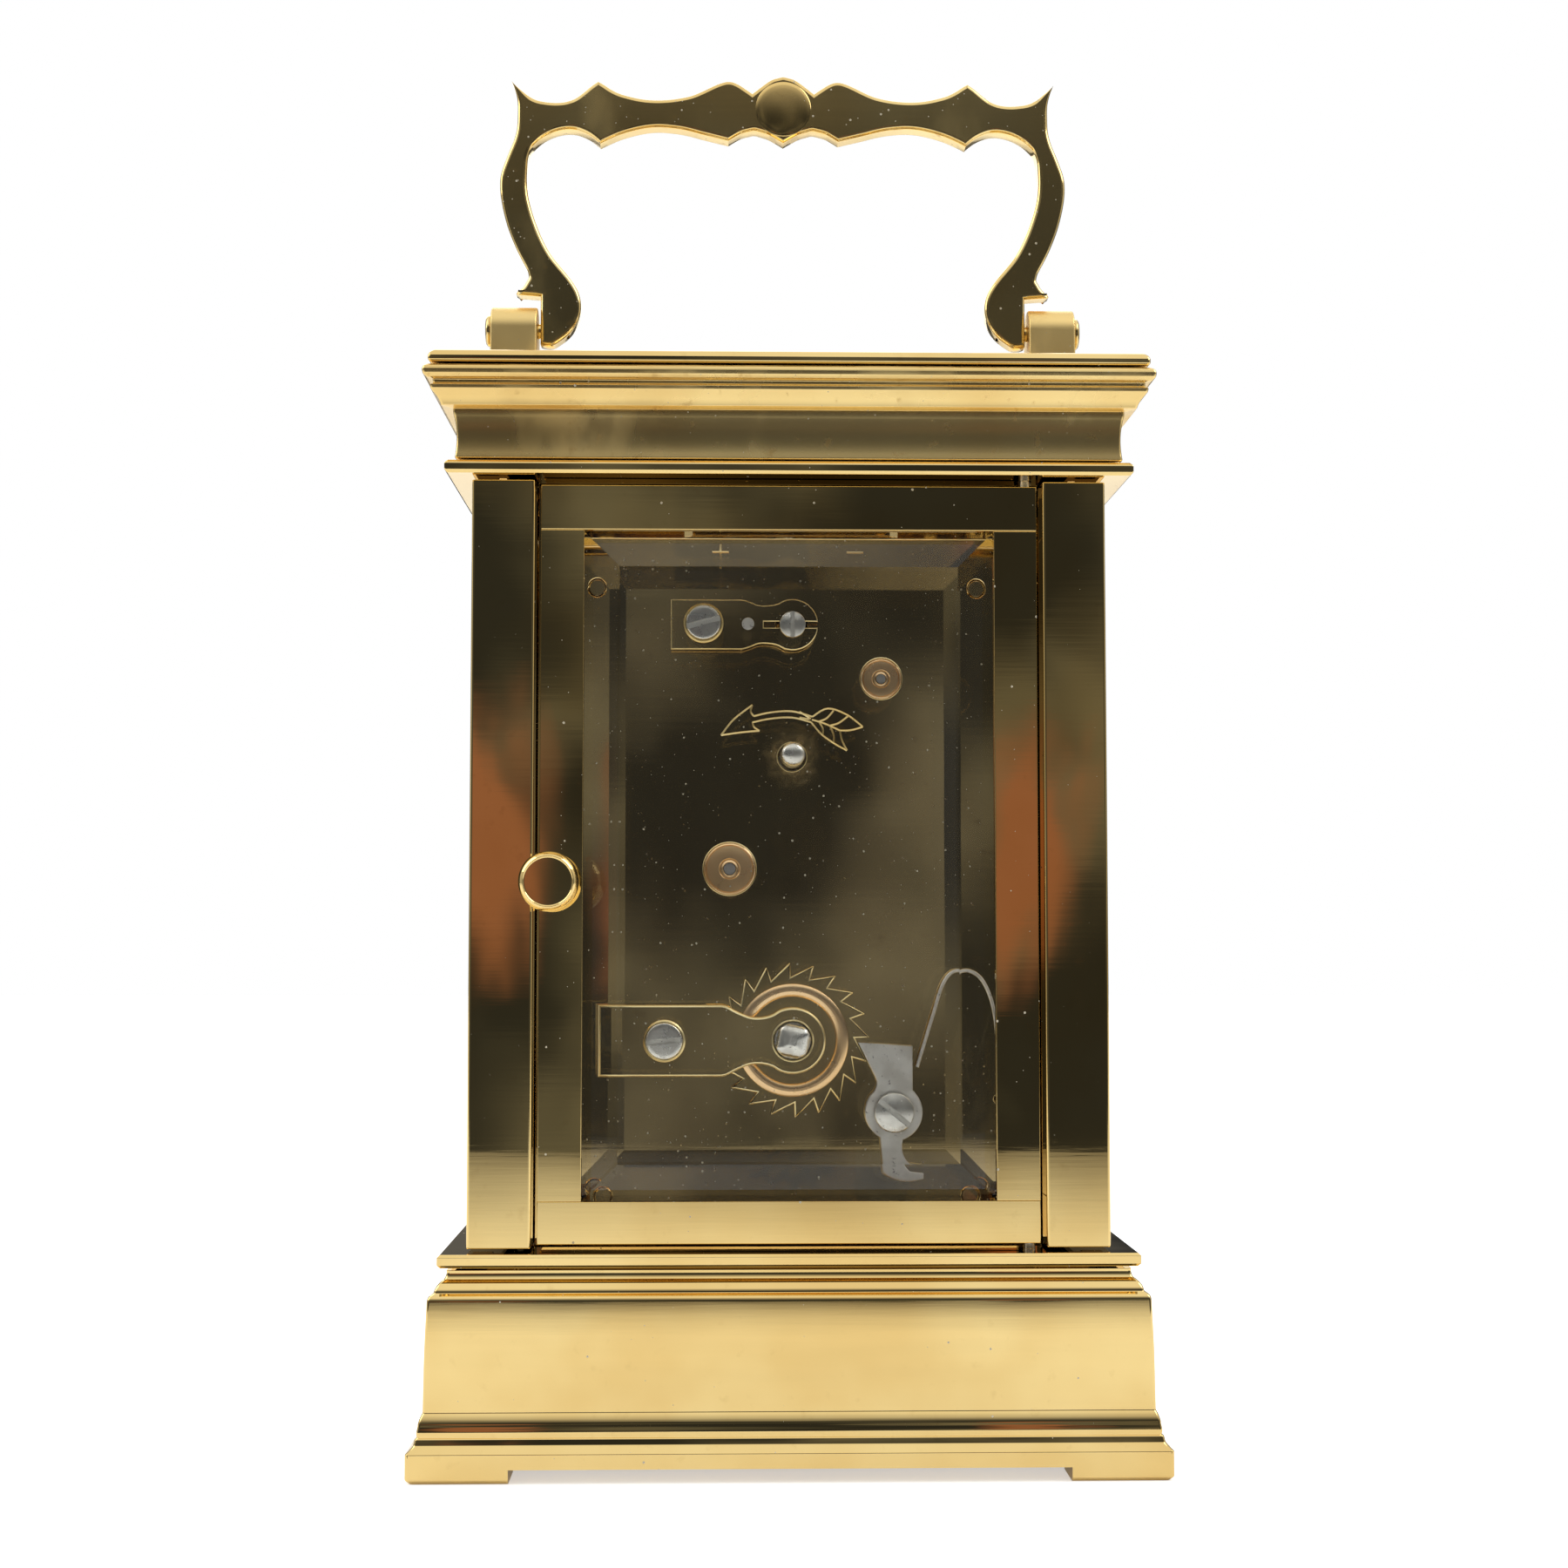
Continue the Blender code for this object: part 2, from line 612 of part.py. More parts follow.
def handle():
    half = handle_half()
    outline = half + [(-a, b) for a, b in half[-2:0:-1]]
    thick = HANDLE_THICK / 2
    piece = prism("handle", outline, -thick, thick)
    pivot = (0, 0, PIVOT_Z)
    for sx in (1, -1):
        reach = sorted((sx * 27.6, sx * 33.0))
        drill = lathe("drill", [(0, reach[0]), (PIN_R + RUN, reach[0]),
                                (PIN_R + RUN, reach[1]), (0, reach[1])],
                      (0, PIVOT_Z), "X", 16)
        cut(piece, drill)
    finish(piece, "polished_brass", pivot)

    for side, sx in (("left", 1), ("right", -1)):
        d = LUG_HALF_DEPTH
        foot = TOP_PLATE_Z[1] + GAP
        outline = [(-d - 1.2, foot), (d + 1.2, foot), (d + 1.2, foot + 1.2),
                   (d + 0.5, foot + 1.7), (d, foot + 2.6)]
        outline += arc((0, PIVOT_Z), d, 0, 180, 14)
        outline += [(-d, foot + 2.6), (-d - 0.5, foot + 1.7), (-d - 1.2, foot + 1.2)]
        ends = sorted((sx * LUG_X[0], sx * LUG_X[1]))
        hole = circle((0, PIVOT_Z), PIN_R + RUN, 16)
        lug = prism(f"handle_lug_{side}", outline, *ends, axis="X", holes=(hole,))
        finish(lug, "polished_brass")
        near, far, head = 27.9, LUG_X[1] + 0.15, LUG_X[1] + 0.75
        profile = [(0, near), (PIN_R, near), (PIN_R, far), (2.0, far), (2.0, head - 0.25),
                   (1.7, head), (0, head + 0.1)]
        profile = [(r, sx * h) for r, h in profile]
        pin = lathe(f"handle_pin_{side}", profile, (0, PIVOT_Z), "X", 20)
        finish(pin, "steel", None, True)


# ---------------------------------------------------------------- movement plates
def movement_plates():
    low, high = PLATE_Z
    c = 0.6
    h = PLATE_HALF
    outline = [(-h + c, low), (h - c, low), (h, low + c), (h, high - c), (h - c, high),
               (-h + c, high), (-h, high - c), (-h, low + c)]
    pillar_holes = [circle(p, 1.1, 12) for p in MOVEMENT_PILLARS]
    pivots = [circle(INTERMEDIATE, 0.75, 16), circle(THIRD, 0.6, 16)]
    back = [circle(BARREL, 2.6, 24), circle(CENTRE, 1.7, 24), circle(CLICK, 0.95, 16),
            circle(COCK_SCREW, 0.95, 16), circle(CONTRATE_COCK_SCREW, 0.95, 16),
            circle((-24.2, 41.0), 0.5, 12)]
    slot = [(CONTRATE[0] - 3.3, CONTRATE[1] - 1.7), (CONTRATE[0] + 3.3, CONTRATE[1] - 1.7),
            (CONTRATE[0] + 3.3, CONTRATE[1] + 1.7), (CONTRATE[0] - 3.3, CONTRATE[1] + 1.7)]
    plate = prism("back_plate", outline, *BACK_PLATE_Y,
                  holes=[*pillar_holes, *pivots, *back, slot])
    finish(plate, "movement_brass")
    front = [circle(BARREL, 1.65, 24), circle(CENTRE, 1.1, 20), circle(CONTRATE, 0.6, 16),
             circle(MINUTE_WHEEL, 0.65, 12)]
    plate = prism("front_plate", outline, *FRONT_PLATE_Y,
                  holes=[*pillar_holes, *pivots, *front])
    finish(plate, "movement_brass")
    start, end = FRONT_PLATE_Y[1] + 0.05, BACK_PLATE_Y[0] - 0.05
    for place, centre in zip(("lower_right", "lower_left", "upper_right", "upper_left"),
                             MOVEMENT_PILLARS):
        profile = [(0, FRONT_PLATE_Y[0] + 0.1), (1.0, FRONT_PLATE_Y[0] + 0.1), (1.0, start),
                   (2.6, start), (2.6, start + 1.5), (1.9, start + 2.3), (1.9, end - 2.3),
                   (2.6, end - 1.5), (2.6, end), (1.0, end), (1.0, BACK_PLATE_Y[1] - 0.1),
                   (0, BACK_PLATE_Y[1] - 0.1)]
        pillar = lathe(f"movement_pillar_{place}", profile, centre, "Y", 14)
        finish(pillar, "movement_brass", None, True)


# ---------------------------------------------------------------- barrel and winding
BARREL_R = 17.0
DRUM_Y = (-5.4, 11.4)
GREAT_WHEEL_Y = (9.9, 11.4)


def spiral(centre, inner, outer, turns, thick, steps):
    """The outline of a flat ribbon wound in a spiral."""
    count = int(turns * steps)
    out, back = [], []
    for i in range(count + 1):
        t = i / count
        angle = 2 * math.pi * turns * t
        radius = inner + (outer - inner) * t
        out.append((centre[0] + (radius + thick / 2) * math.cos(angle),
                    centre[1] + (radius + thick / 2) * math.sin(angle)))
        back.append((centre[0] + (radius - thick / 2) * math.cos(angle),
                     centre[1] + (radius - thick / 2) * math.sin(angle)))
    return out + back[::-1]


def barrel():
    pivot = (BARREL[0], 0, BARREL[1])
    module = module_of(BARREL, INTERMEDIATE, BARREL_TEETH, INTERMEDIATE_LEAVES)
    low, high = DRUM_Y
    wall = 1.0
    drum = lathe("barrel", [(BARREL_R, low), (BARREL_R, high - 0.2),
                            (2.65, high - 0.2), (2.65, high - 1.4),
                            (BARREL_R - wall, high - 1.4), (BARREL_R - wall, low)],
                 BARREL, "Y", 40, ring=True)
    phase = bearing(BARREL, INTERMEDIATE)
    rim = prism("rim", wheel_teeth(BARREL, BARREL_TEETH, module, phase), *GREAT_WHEEL_Y,
                holes=[circle(BARREL, BARREL_R - 0.5, 40)])
    finish(fuse(drum, rim), "movement_brass", pivot)

    cap = lathe("barrel_cap", [(BARREL_R - wall - 0.1, low + 0.1),
                               (BARREL_R - wall - 0.1, low + 1.1), (2.65, low + 1.1),
                               (2.65, low + 0.1)], BARREL, "Y", 32, ring=True)
    finish(cap, "movement_brass", pivot)

    ribbon = spiral(BARREL, 4.6, 15.2, 7, 0.45, 12)
    spring = prism("mainspring", ribbon, low + 1.6, high - 1.9)
    finish(spring, "blued_steel", pivot)

    arbor = shaft("barrel_arbor", BARREL,
                  [(1.6, FRONT_PLATE_Y[0] + 0.2, low - 0.4), (2.6, low - 0.4, low + 1.35),
                   (4.0, low + 1.35, high - 1.65), (2.6, high - 1.65, 16.0),
                   (2.5, 16.0, 19.2)], sides=24)
    square = prism("square", rectangle(BARREL, 1.9, 1.9), 19.0, 24.5)
    neck = shaft("neck", BARREL, [(2.2, 19.0, 22.9)], sides=24)
    turned = math.radians(12)
    for vert in square.data.vertices:
        x = vert.co.x - BARREL[0] * MM
        z = vert.co.z - BARREL[1] * MM
        vert.co.x = x * math.cos(turned) - z * math.sin(turned) + BARREL[0] * MM
        vert.co.z = x * math.sin(turned) + z * math.cos(turned) + BARREL[1] * MM
    dome = lathe("dome", [(0, 18.9), (2.05, 18.9), (2.05, 24.0), (1.5, 24.6), (0, 24.8)],
                 BARREL, "Y", 24)
    square = combine(square, [dome], "INTERSECT")
    finish(fuse(arbor, neck, square), "steel", pivot)

    outline = []
    step = 360 / RATCHET_TEETH
    for i in range(RATCHET_TEETH):
        face = math.radians(RATCHET_FACE + step * i)
        rise = math.radians(RATCHET_FACE + step * (i + 1) - 0.7)
        outline += [(BARREL[0] + RATCHET_ROOT * math.cos(face),
                     BARREL[1] + RATCHET_ROOT * math.sin(face)),
                    (BARREL[0] + RATCHET_TIP * math.cos(rise),
                     BARREL[1] + RATCHET_TIP * math.sin(rise)),
                    (BARREL[0] + RATCHET_TIP * math.cos(rise + 0.012),
                     BARREL[1] + RATCHET_TIP * math.sin(rise + 0.012))]
    wheel = prism("ratchet_wheel", outline, 19.3, 20.5, holes=[circle(BARREL, 2.62, 24)])
    finish(wheel, "movement_brass", pivot)


def winding_cock():
    face, back = 22.3, 20.95
    x, z = BARREL
    outline = arc((x, z), 3.9, 52, 308, 16)
    outline += [(3.2, z - 2.75), (4.3, z - 2.8), (5.8, z - 3.35), (7.8, z - 4.2),
                (21.6, z - 4.2), (21.6, z + 4.2), (7.8, z + 4.2), (5.8, z + 3.35),
                (4.3, z + 2.8), (3.2, z + 2.75)]
    cock = prism("winding_cock", outline, back, face,
                 holes=[circle(BARREL, 2.25, 24), circle(COCK_SCREW, 1.1, 20)])
    foot = prism("foot", [(21.6, z + 4.2), (9.6, z + 4.2), (9.6, z - 4.2), (21.6, z - 4.2)],
                 BACK_PLATE_Y[1] + 0.1, back + 0.1, holes=[circle(COCK_SCREW, 1.1, 20)])
    finish(fuse(cock, foot), "movement_brass")
    finish(screw("winding_cock_screw", COCK_SCREW, 2.15, (face + 0.1, face + 1.0), 0.9,
                 17.1, -5), "steel")


def click_work():
    x, z = CLICK
    outline = [(-8.4, 47.8), (-14.85, 47.4), (-14.85, 42.4)]
    outline += arc(CLICK, 3.4, 131, 252, 8)
    outline += [(x - 1.3, 34.2), (x - 1.9, 33.5), (-16.1, 33.3), (-16.1, 32.6), (-12.6, 32.6),
                (-11.3, 33.4), (-11.0, 36.4)]
    outline += arc(CLICK, 3.4, 298, 408, 8)
    outline += [(-10.5, 43.6)]
    piece = prism("click", outline, 19.3, 20.6, holes=[circle(CLICK, 1.25, 20)])
    finish(piece, "steel", (x, 0, z))
    finish(screw("click_screw", CLICK, 2.35, (20.9, 21.9), 0.9, 17.1, 40), "steel")
    path = smooth_through([(-24.2, 20.2, 41.0), (-24.3, 20.2, 45.0), (-23.75, 20.2, 51.5),
                           (-22.3, 20.2, 55.2), (-20.2, 20.2, 56.3), (-18.6, 20.2, 54.9),
                           (-17.3, 20.2, 51.0), (-16.2, 20.2, 47.5), (-15.4, 20.2, 44.9)], 3)
    foot = [(-24.2, 17.4, 41.0), (-24.2, 19.6, 41.0)]
    spring = tube("click_spring", foot + path[1:], 0.36)
    finish(spring, "steel", None, True)


# ---------------------------------------------------------------- train
def toothed(name, centre, wheel, wheel_y, arms, hub):
    """A crossed-out wheel."""
    outline, rim = wheel
    holes = windows(centre, hub, rim, arms, 1.3)
    return prism(name, outline, *wheel_y, holes=holes)


def intermediate_wheel():
    c = INTERMEDIATE
    module = module_of(BARREL, c, BARREL_TEETH, INTERMEDIATE_LEAVES)
    phase = bearing(c, BARREL) + math.pi / INTERMEDIATE_LEAVES
    leaves = prism("leaves", pinion_leaves(c, INTERMEDIATE_LEAVES, module, phase), 9.0, 12.6)
    module = module_of(c, CENTRE, INTERMEDIATE_TEETH, CENTRE_LEAVES)
    pitch_r = module * INTERMEDIATE_TEETH / 2
    outline = wheel_teeth(c, INTERMEDIATE_TEETH, module, bearing(c, CENTRE))
    wheel = toothed("intermediate_wheel", c, (outline, pitch_r - 2.2), (-7.6, -6.4), 5, 3.4)
    arbor = shaft("arbor", c, [(0.7, -10.8, -8.6), (2.2, -8.6, -6.0), (1.2, -6.0, 15.8),
                               (0.7, 15.8, 18.8)])
    finish(fuse(wheel, arbor, leaves), "movement_brass", (c[0], 0, c[1]))


def centre_wheel():
    c = CENTRE
    module = module_of(INTERMEDIATE, c, INTERMEDIATE_TEETH, CENTRE_LEAVES)
    phase = bearing(c, INTERMEDIATE) + math.pi / CENTRE_LEAVES
    leaves = prism("leaves", pinion_leaves(c, CENTRE_LEAVES, module, phase), -8.4, -4.6)
    module = module_of(c, THIRD, CENTRE_TEETH, THIRD_LEAVES)
    pitch_r = module * CENTRE_TEETH / 2
    outline = wheel_teeth(c, CENTRE_TEETH, module, bearing(c, THIRD))
    wheel = toothed("centre_wheel", c, (outline, pitch_r - 2.0), (0.0, 1.2), 5, 3.2)
    sleeve = shaft("sleeve", c, [(1.3, -4.8, -0.6), (2.6, -0.6, 1.8)], sides=20)
    bore = shaft("bore", c, [(1.0 + RUN, -9.0, 2.5)], sides=20)
    finish(cut(fuse(wheel, sleeve, leaves), bore), "movement_brass", (c[0], 0, c[1]))


def third_wheel():
    c = THIRD
    module = module_of(CENTRE, c, CENTRE_TEETH, THIRD_LEAVES)
    phase = bearing(c, CENTRE) + math.pi / THIRD_LEAVES
    leaves = prism("leaves", pinion_leaves(c, THIRD_LEAVES, module, phase), -1.4, 2.6)
    module = module_of(c, CONTRATE, THIRD_TEETH, CONTRATE_LEAVES)
    pitch_r = module * THIRD_TEETH / 2
    outline = wheel_teeth(c, THIRD_TEETH, module, bearing(c, CONTRATE))
    wheel = toothed("third_wheel", c, (outline, pitch_r - 1.8), (12.2, 13.3), 5, 2.6)
    arbor = shaft("arbor", c, [(0.55, -10.8, -8.6), (0.9, -8.6, 11.4), (1.8, 11.4, 14.0),
                               (0.9, 14.0, 16.4), (0.55, 16.4, 18.8)])
    finish(fuse(wheel, arbor, leaves), "movement_brass", (c[0], 0, c[1]))


def contrate_wheel():
    c = CONTRATE
    module = module_of(THIRD, c, THIRD_TEETH, CONTRATE_LEAVES)
    phase = bearing(c, THIRD) + math.pi / CONTRATE_LEAVES
    leaves = prism("leaves", pinion_leaves(c, CONTRATE_LEAVES, module, phase), 11.2, 14.4)
    tip, floor = CROWN_TEETH_Y
    back = floor + 1.0
    inner, outer = CROWN_WHEEL_R - 0.7, CROWN_WHEEL_R + 0.7
    bm = bmesh.new()
    stations = []
    for i in range(CONTRATE_TEETH):
        for share, y in ((-0.12, tip), (0.12, tip), (0.5, floor)):
            angle = math.pi / 2 + 2 * math.pi * (i + share) / CONTRATE_TEETH
            stations.append([
                bm.verts.new(along("Y", c[0] + r * math.cos(angle),
                                   c[1] + r * math.sin(angle), h))
                for r, h in ((inner, y), (outer, y), (outer, back), (inner, back))
            ])
    for i, here in enumerate(stations):
        there = stations[(i + 1) % len(stations)]
        for k in range(4):
            j = (k + 1) % 4
            bm.faces.new((here[k], here[j], there[j], there[k]))
    rim = new_object("contrate_wheel", bm)
    cross = []
    for i in range(4):
        way = math.pi / 2 * i + 0.4
        reach, side = CROWN_WHEEL_R - 0.1, 0.6
        for a, b in ((side, -side), (reach, -side), (reach, side)):
            cross.append((c[0] + a * math.cos(way) - b * math.sin(way),
                          c[1] + a * math.sin(way) + b * math.cos(way)))
    arms = prism("arms", cross, floor + 0.25, back - 0.2)
    arbor = shaft("arbor", c, [(0.55, -10.8, -8.4), (0.7, -8.4, 4.6), (1.7, 4.6, 6.8),
                               (0.7, 6.8, 16.6), (0.5, 16.6, 20.6)])
    finish(fuse(rim, fuse(arms, arbor, leaves)), "movement_brass", (c[0], 0, c[1]))


def contrate_cock():
    x, z = CONTRATE
    low, high = BACK_PLATE_Y[1] + 0.1, 21.4
    outline = arc((x, z), 3.08, 55, 305, 14)
    outline += [(2.5, z - 2.3), (3.5, z - 2.35), (4.4, z - 2.7), (5.6, z - 3.0),
                (13.9, z - 3.0), (13.9, z + 3.0), (5.6, z + 3.0), (4.4, z + 2.7),
                (3.5, z + 2.35), (2.5, z + 2.3)]
    cock = prism("contrate_cock", outline, low, high,
                 holes=[circle(CONTRATE, 0.56, 16), circle(CONTRATE_COCK_SCREW, 1.1, 20)])
    slit = box("slit", (x - 4.0, low - 1, z - SLIT / 2), (2.8, high + 1, z + SLIT / 2))
    finish(cut(cock, slit), "movement_brass")
    finish(screw("contrate_cock_screw", CONTRATE_COCK_SCREW, 2.05, (high + 0.1, high + 0.95),
                 0.9, 17.1, -15), "steel")
    finish(screw("contrate_end_screw", CONTRATE, 1.55, (high + 0.1, high + 0.7), 0.45,
                 20.75, 90, 20), "steel")


# ---------------------------------------------------------------- platform
def platform():
    low, high = PLATFORM_Z
    ex, ey = ESCAPE
    outline = [(ex - 12, -16.5), (ex + 12, -16.5), (ex + 13, -15.5), (ex + 13, 15.5),
               (ex + 12, 16.5), (ex - 12, 16.5), (ex - 13, 15.5), (ex - 13, -15.5)]
    holes = [circle(ESCAPE, 1.3, 16), circle(PALLET, 0.4, 12), circle(BALANCE, 0.45, 12)]
    plate = prism("platform_plate", outline, low, high, axis="Z", holes=holes)
    finish(plate, "movement_brass")

    module = 2 * ESCAPE_PINION_R / ESCAPE_LEAVES
    leaves = prism("leaves", pinion_leaves(ESCAPE, ESCAPE_LEAVES, module,
                                           math.pi / 2 + math.pi / ESCAPE_LEAVES),
                   CONTRATE[1] + CROWN_WHEEL_R - 1.0, CONTRATE[1] + CROWN_WHEEL_R + 0.9,
                   axis="Z")
    outline = []
    for i in range(ESCAPE_TEETH):
        start = 2 * math.pi * i / ESCAPE_TEETH
        for radius, degrees in ((2.55, 0), (3.5, 3), (3.7, 8.5), (2.6, 9)):
            angle = start + math.radians(degrees)
            outline.append((ex + radius * math.cos(angle), ey + radius * math.sin(angle)))
    wheel = prism("escape_wheel", outline, 110.3, 110.8, axis="Z",
                  holes=windows(ESCAPE, 0.95, 2.1, 4, 0.5))
    arbor = shaft("arbor", ESCAPE, [(0.3, CONTRATE[1] + 6.0, CONTRATE[1] + 6.4),
                                    (0.42, CONTRATE[1] + 6.4, 111.6), (0.2, 111.6, 112.2)],
                  "Z", 12)
    hub = shaft("hub", ESCAPE, [(1.0, 110.0, 111.1)], "Z", 16)
    finish(fuse(wheel, hub, arbor, leaves), "steel", (ex, ey, 0), False)

    px, py = PALLET
    outline = [(px - 4.5, py + 2.9), (px - 3.95, py + 3.2), (px - 3.75, py + 2.75),
               (px - 2.75, py + 1.55), (px - 1.2, py + 0.85), (px + 1.2, py + 0.85),
               (px + 2.75, py + 1.55), (px + 3.75, py + 2.75), (px + 3.95, py + 3.2),
               (px + 4.5, py + 2.9), (px + 3.4, py + 0.9), (px + 0.5, py - 1.1), (px + 0.35, py - 3.4),
               (px + 0.75, py - 4.2), (px + 0.35, py - 4.4), (px + 0.25, py - 3.9),
               (px - 0.25, py - 3.9), (px - 0.35, py - 4.4), (px - 0.75, py - 4.2),
               (px - 0.35, py - 3.4), (px - 0.5, py - 1.1), (px - 3.4, py + 0.9)]
    lever = prism("pallet_lever", outline, 110.3, 110.8, axis="Z")
    staff = shaft("staff", PALLET, [(0.3, 107.7, 109.4), (0.55, 109.4, 111.4),
                                    (0.25, 111.4, 112.2)], "Z", 12)
    finish(fuse(lever, staff), "steel", (px, py, 0))

    bx, by = BALANCE
    rim = prism("balance_wheel", circle(BALANCE, BALANCE_R, 48), 112.4, 113.5, axis="Z",
                holes=windows(BALANCE, 1.5, BALANCE_R - 0.9, 2, 1.2))
    staff = shaft("staff", BALANCE, [(0.35, 107.7, 109.6), (0.6, 109.6, 110.9),
                                     (1.2, 110.9, 111.3), (0.8, 111.3, 114.0),
                                     (0.3, 114.0, 116.2)], "Z", 16)
    finish(fuse(rim, staff), "movement_brass", (bx, by, 0))

    ribbon = spiral(BALANCE, 1.15, 4.0, 4, 0.12, 14)
    spring = prism("hairspring", ribbon, 114.3, 114.75, axis="Z")
    finish(spring, "blued_steel", (bx, by, 0))

    cock = prism("balance_cock",
                 arc(BALANCE, 2.0, -30, 210, 14)
                 + [(bx - 3.2, by - 6.0), (bx - 3.2, by - 9.0), (bx + 3.2, by - 9.0),
                    (bx + 3.2, by - 6.0)],
                 115.3, 116.5, axis="Z", holes=[circle(BALANCE, 0.36, 12)])
    foot = prism("foot", rectangle((bx, by - 8.0), 3.2, 1.0), PLATFORM_Z[1] + 0.1, 115.5,
                 axis="Z")
    finish(fuse(cock, foot), "movement_brass")

    index = prism("regulator_index",
                  arc(BALANCE, 1.5, -60, 240, 14)
                  + [(bx - 0.35, by - 1.9), (bx - 0.2, by - 7.4), (bx + 0.2, by - 7.4),
                     (bx + 0.35, by - 1.9)],
                  116.7, 117.1, axis="Z", holes=[circle(BALANCE, 0.5, 12)])
    finish(index, "steel", (bx, by, 0))


# ---------------------------------------------------------------- dial and hands
def dial_work():
    x, z = CENTRE
    outline = [(-DIAL_HALF, DIAL_Z[0]), (DIAL_HALF, DIAL_Z[0]), (DIAL_HALF, DIAL_Z[1]),
               (-DIAL_HALF, DIAL_Z[1])]
    finish(prism("dial", outline, *DIAL_Y, holes=[circle(CENTRE, 3.0, 24)]), "white_enamel")

    pivot = (x, 0, z)
    module = module_of(CENTRE, MINUTE_WHEEL, CANNON_TEETH, MINUTE_TEETH)
    phase = bearing(CENTRE, MINUTE_WHEEL)
    leaves = prism("leaves", pinion_leaves(CENTRE, CANNON_TEETH, module, phase),
                   -14.1, -12.2)
    arbor = shaft("set_arbor", CENTRE, [(0.8, -23.9, -22.0), (1.0, -22.0, 16.0),
                                        (1.42, 16.0, 24.0), (1.0, 24.0, 24.5)], sides=20)
    finish(fuse(arbor, leaves), "steel", pivot)

    phase = bearing(MINUTE_WHEEL, CENTRE) + math.pi / MINUTE_TEETH
    wheel = prism("minute_wheel", wheel_teeth(MINUTE_WHEEL, MINUTE_TEETH, module, phase),
                  -13.7, -12.6)
    module = module_of(CENTRE, MINUTE_WHEEL, HOUR_TEETH, MINUTE_LEAVES)
    phase = bearing(MINUTE_WHEEL, CENTRE) + math.pi / MINUTE_LEAVES
    leaves = prism("leaves", pinion_leaves(MINUTE_WHEEL, MINUTE_LEAVES, module, phase),
                   -16.7, -13.5)
    stud = shaft("stud", MINUTE_WHEEL, [(0.6, -13.0, -9.3)], sides=12)
    finish(fuse(wheel, leaves, stud), "movement_brass", (MINUTE_WHEEL[0], 0, MINUTE_WHEEL[1]))

    phase = bearing(CENTRE, MINUTE_WHEEL)
    wheel = prism("hour_wheel", wheel_teeth(CENTRE, HOUR_TEETH, module, phase),
                  -16.3, -15.0)
    pipe = shaft("pipe", CENTRE, [(1.6, -21.6, -15.9), (2.4, -15.9, -14.6)], sides=20)
    bore = shaft("bore", CENTRE, [(1.1, -22.5, -14.0)], sides=20)
    finish(cut(fuse(wheel, pipe), bore), "movement_brass", pivot)

    hour = [(x - 0.55, z + 1.7), (x - 0.4, z + 5.6), (x - 1.7, z + 7.2), (x - 2.0, z + 8.6),
            (x - 1.2, z + 10.2), (x - 0.35, z + 11.4), (x, z + 13.6), (x + 0.35, z + 11.4),
            (x + 1.2, z + 10.2), (x + 2.0, z + 8.6), (x + 1.7, z + 7.2), (x + 0.4, z + 5.6),
            (x + 0.55, z + 1.7)]
    hour = turned_outline(hour, CENTRE, 50)
    ring = circle(CENTRE, 2.6, 24)
    boss = prism("boss", ring, -21.3, -20.6, holes=[circle(CENTRE, 1.65, 20)])
    blade = prism("hour_hand", hour, -21.2, -20.7)
    finish(fuse(blade, boss), "blued_steel", pivot)

    minute = [(x - 0.5, z + 1.2), (x - 0.3, z + 10.5), (x - 1.2, z + 12.2),
              (x - 1.3, z + 13.4), (x - 0.25, z + 15.6), (x, z + 19.4), (x + 0.25, z + 15.6),
              (x + 1.3, z + 13.4), (x + 1.2, z + 12.2), (x + 0.3, z + 10.5), (x + 0.5, z + 1.2)]
    minute = turned_outline(minute, CENTRE, -60)
    boss = prism("boss", circle(CENTRE, 2.0, 24), -22.9, -22.2,
                 holes=[circle(CENTRE, 0.85, 20)])
    blade = prism("minute_hand", minute, -22.8, -22.3)
    finish(fuse(blade, boss), "blued_steel", pivot)


def turned_outline(points, centre, degrees):
    angle = math.radians(degrees)
    turned = []
    for a, b in points:
        p, q = a - centre[0], b - centre[1]
        turned.append((centre[0] + p * math.cos(angle) - q * math.sin(angle),
                       centre[1] + p * math.sin(angle) + q * math.cos(angle)))
    return turned


clear_scene()
looks = make_looks()
base()
case_pillars()
cornice()
panes()
rear_door()
handle()
movement_plates()
barrel()
winding_cock()
click_work()
intermediate_wheel()
centre_wheel()
third_wheel()
contrate_wheel()
contrate_cock()
platform()
dial_work()
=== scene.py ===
"""The finished look of a brass and glass carriage clock, seen from behind its door.
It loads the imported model, gives each piece a finer mesh and a material of its own, and
adds the small pieces that the model leaves out.
Lengths are in millimetres until a mesh is made."""
import json
from math import atan2, cos, degrees, hypot, pi, radians, sin, tan

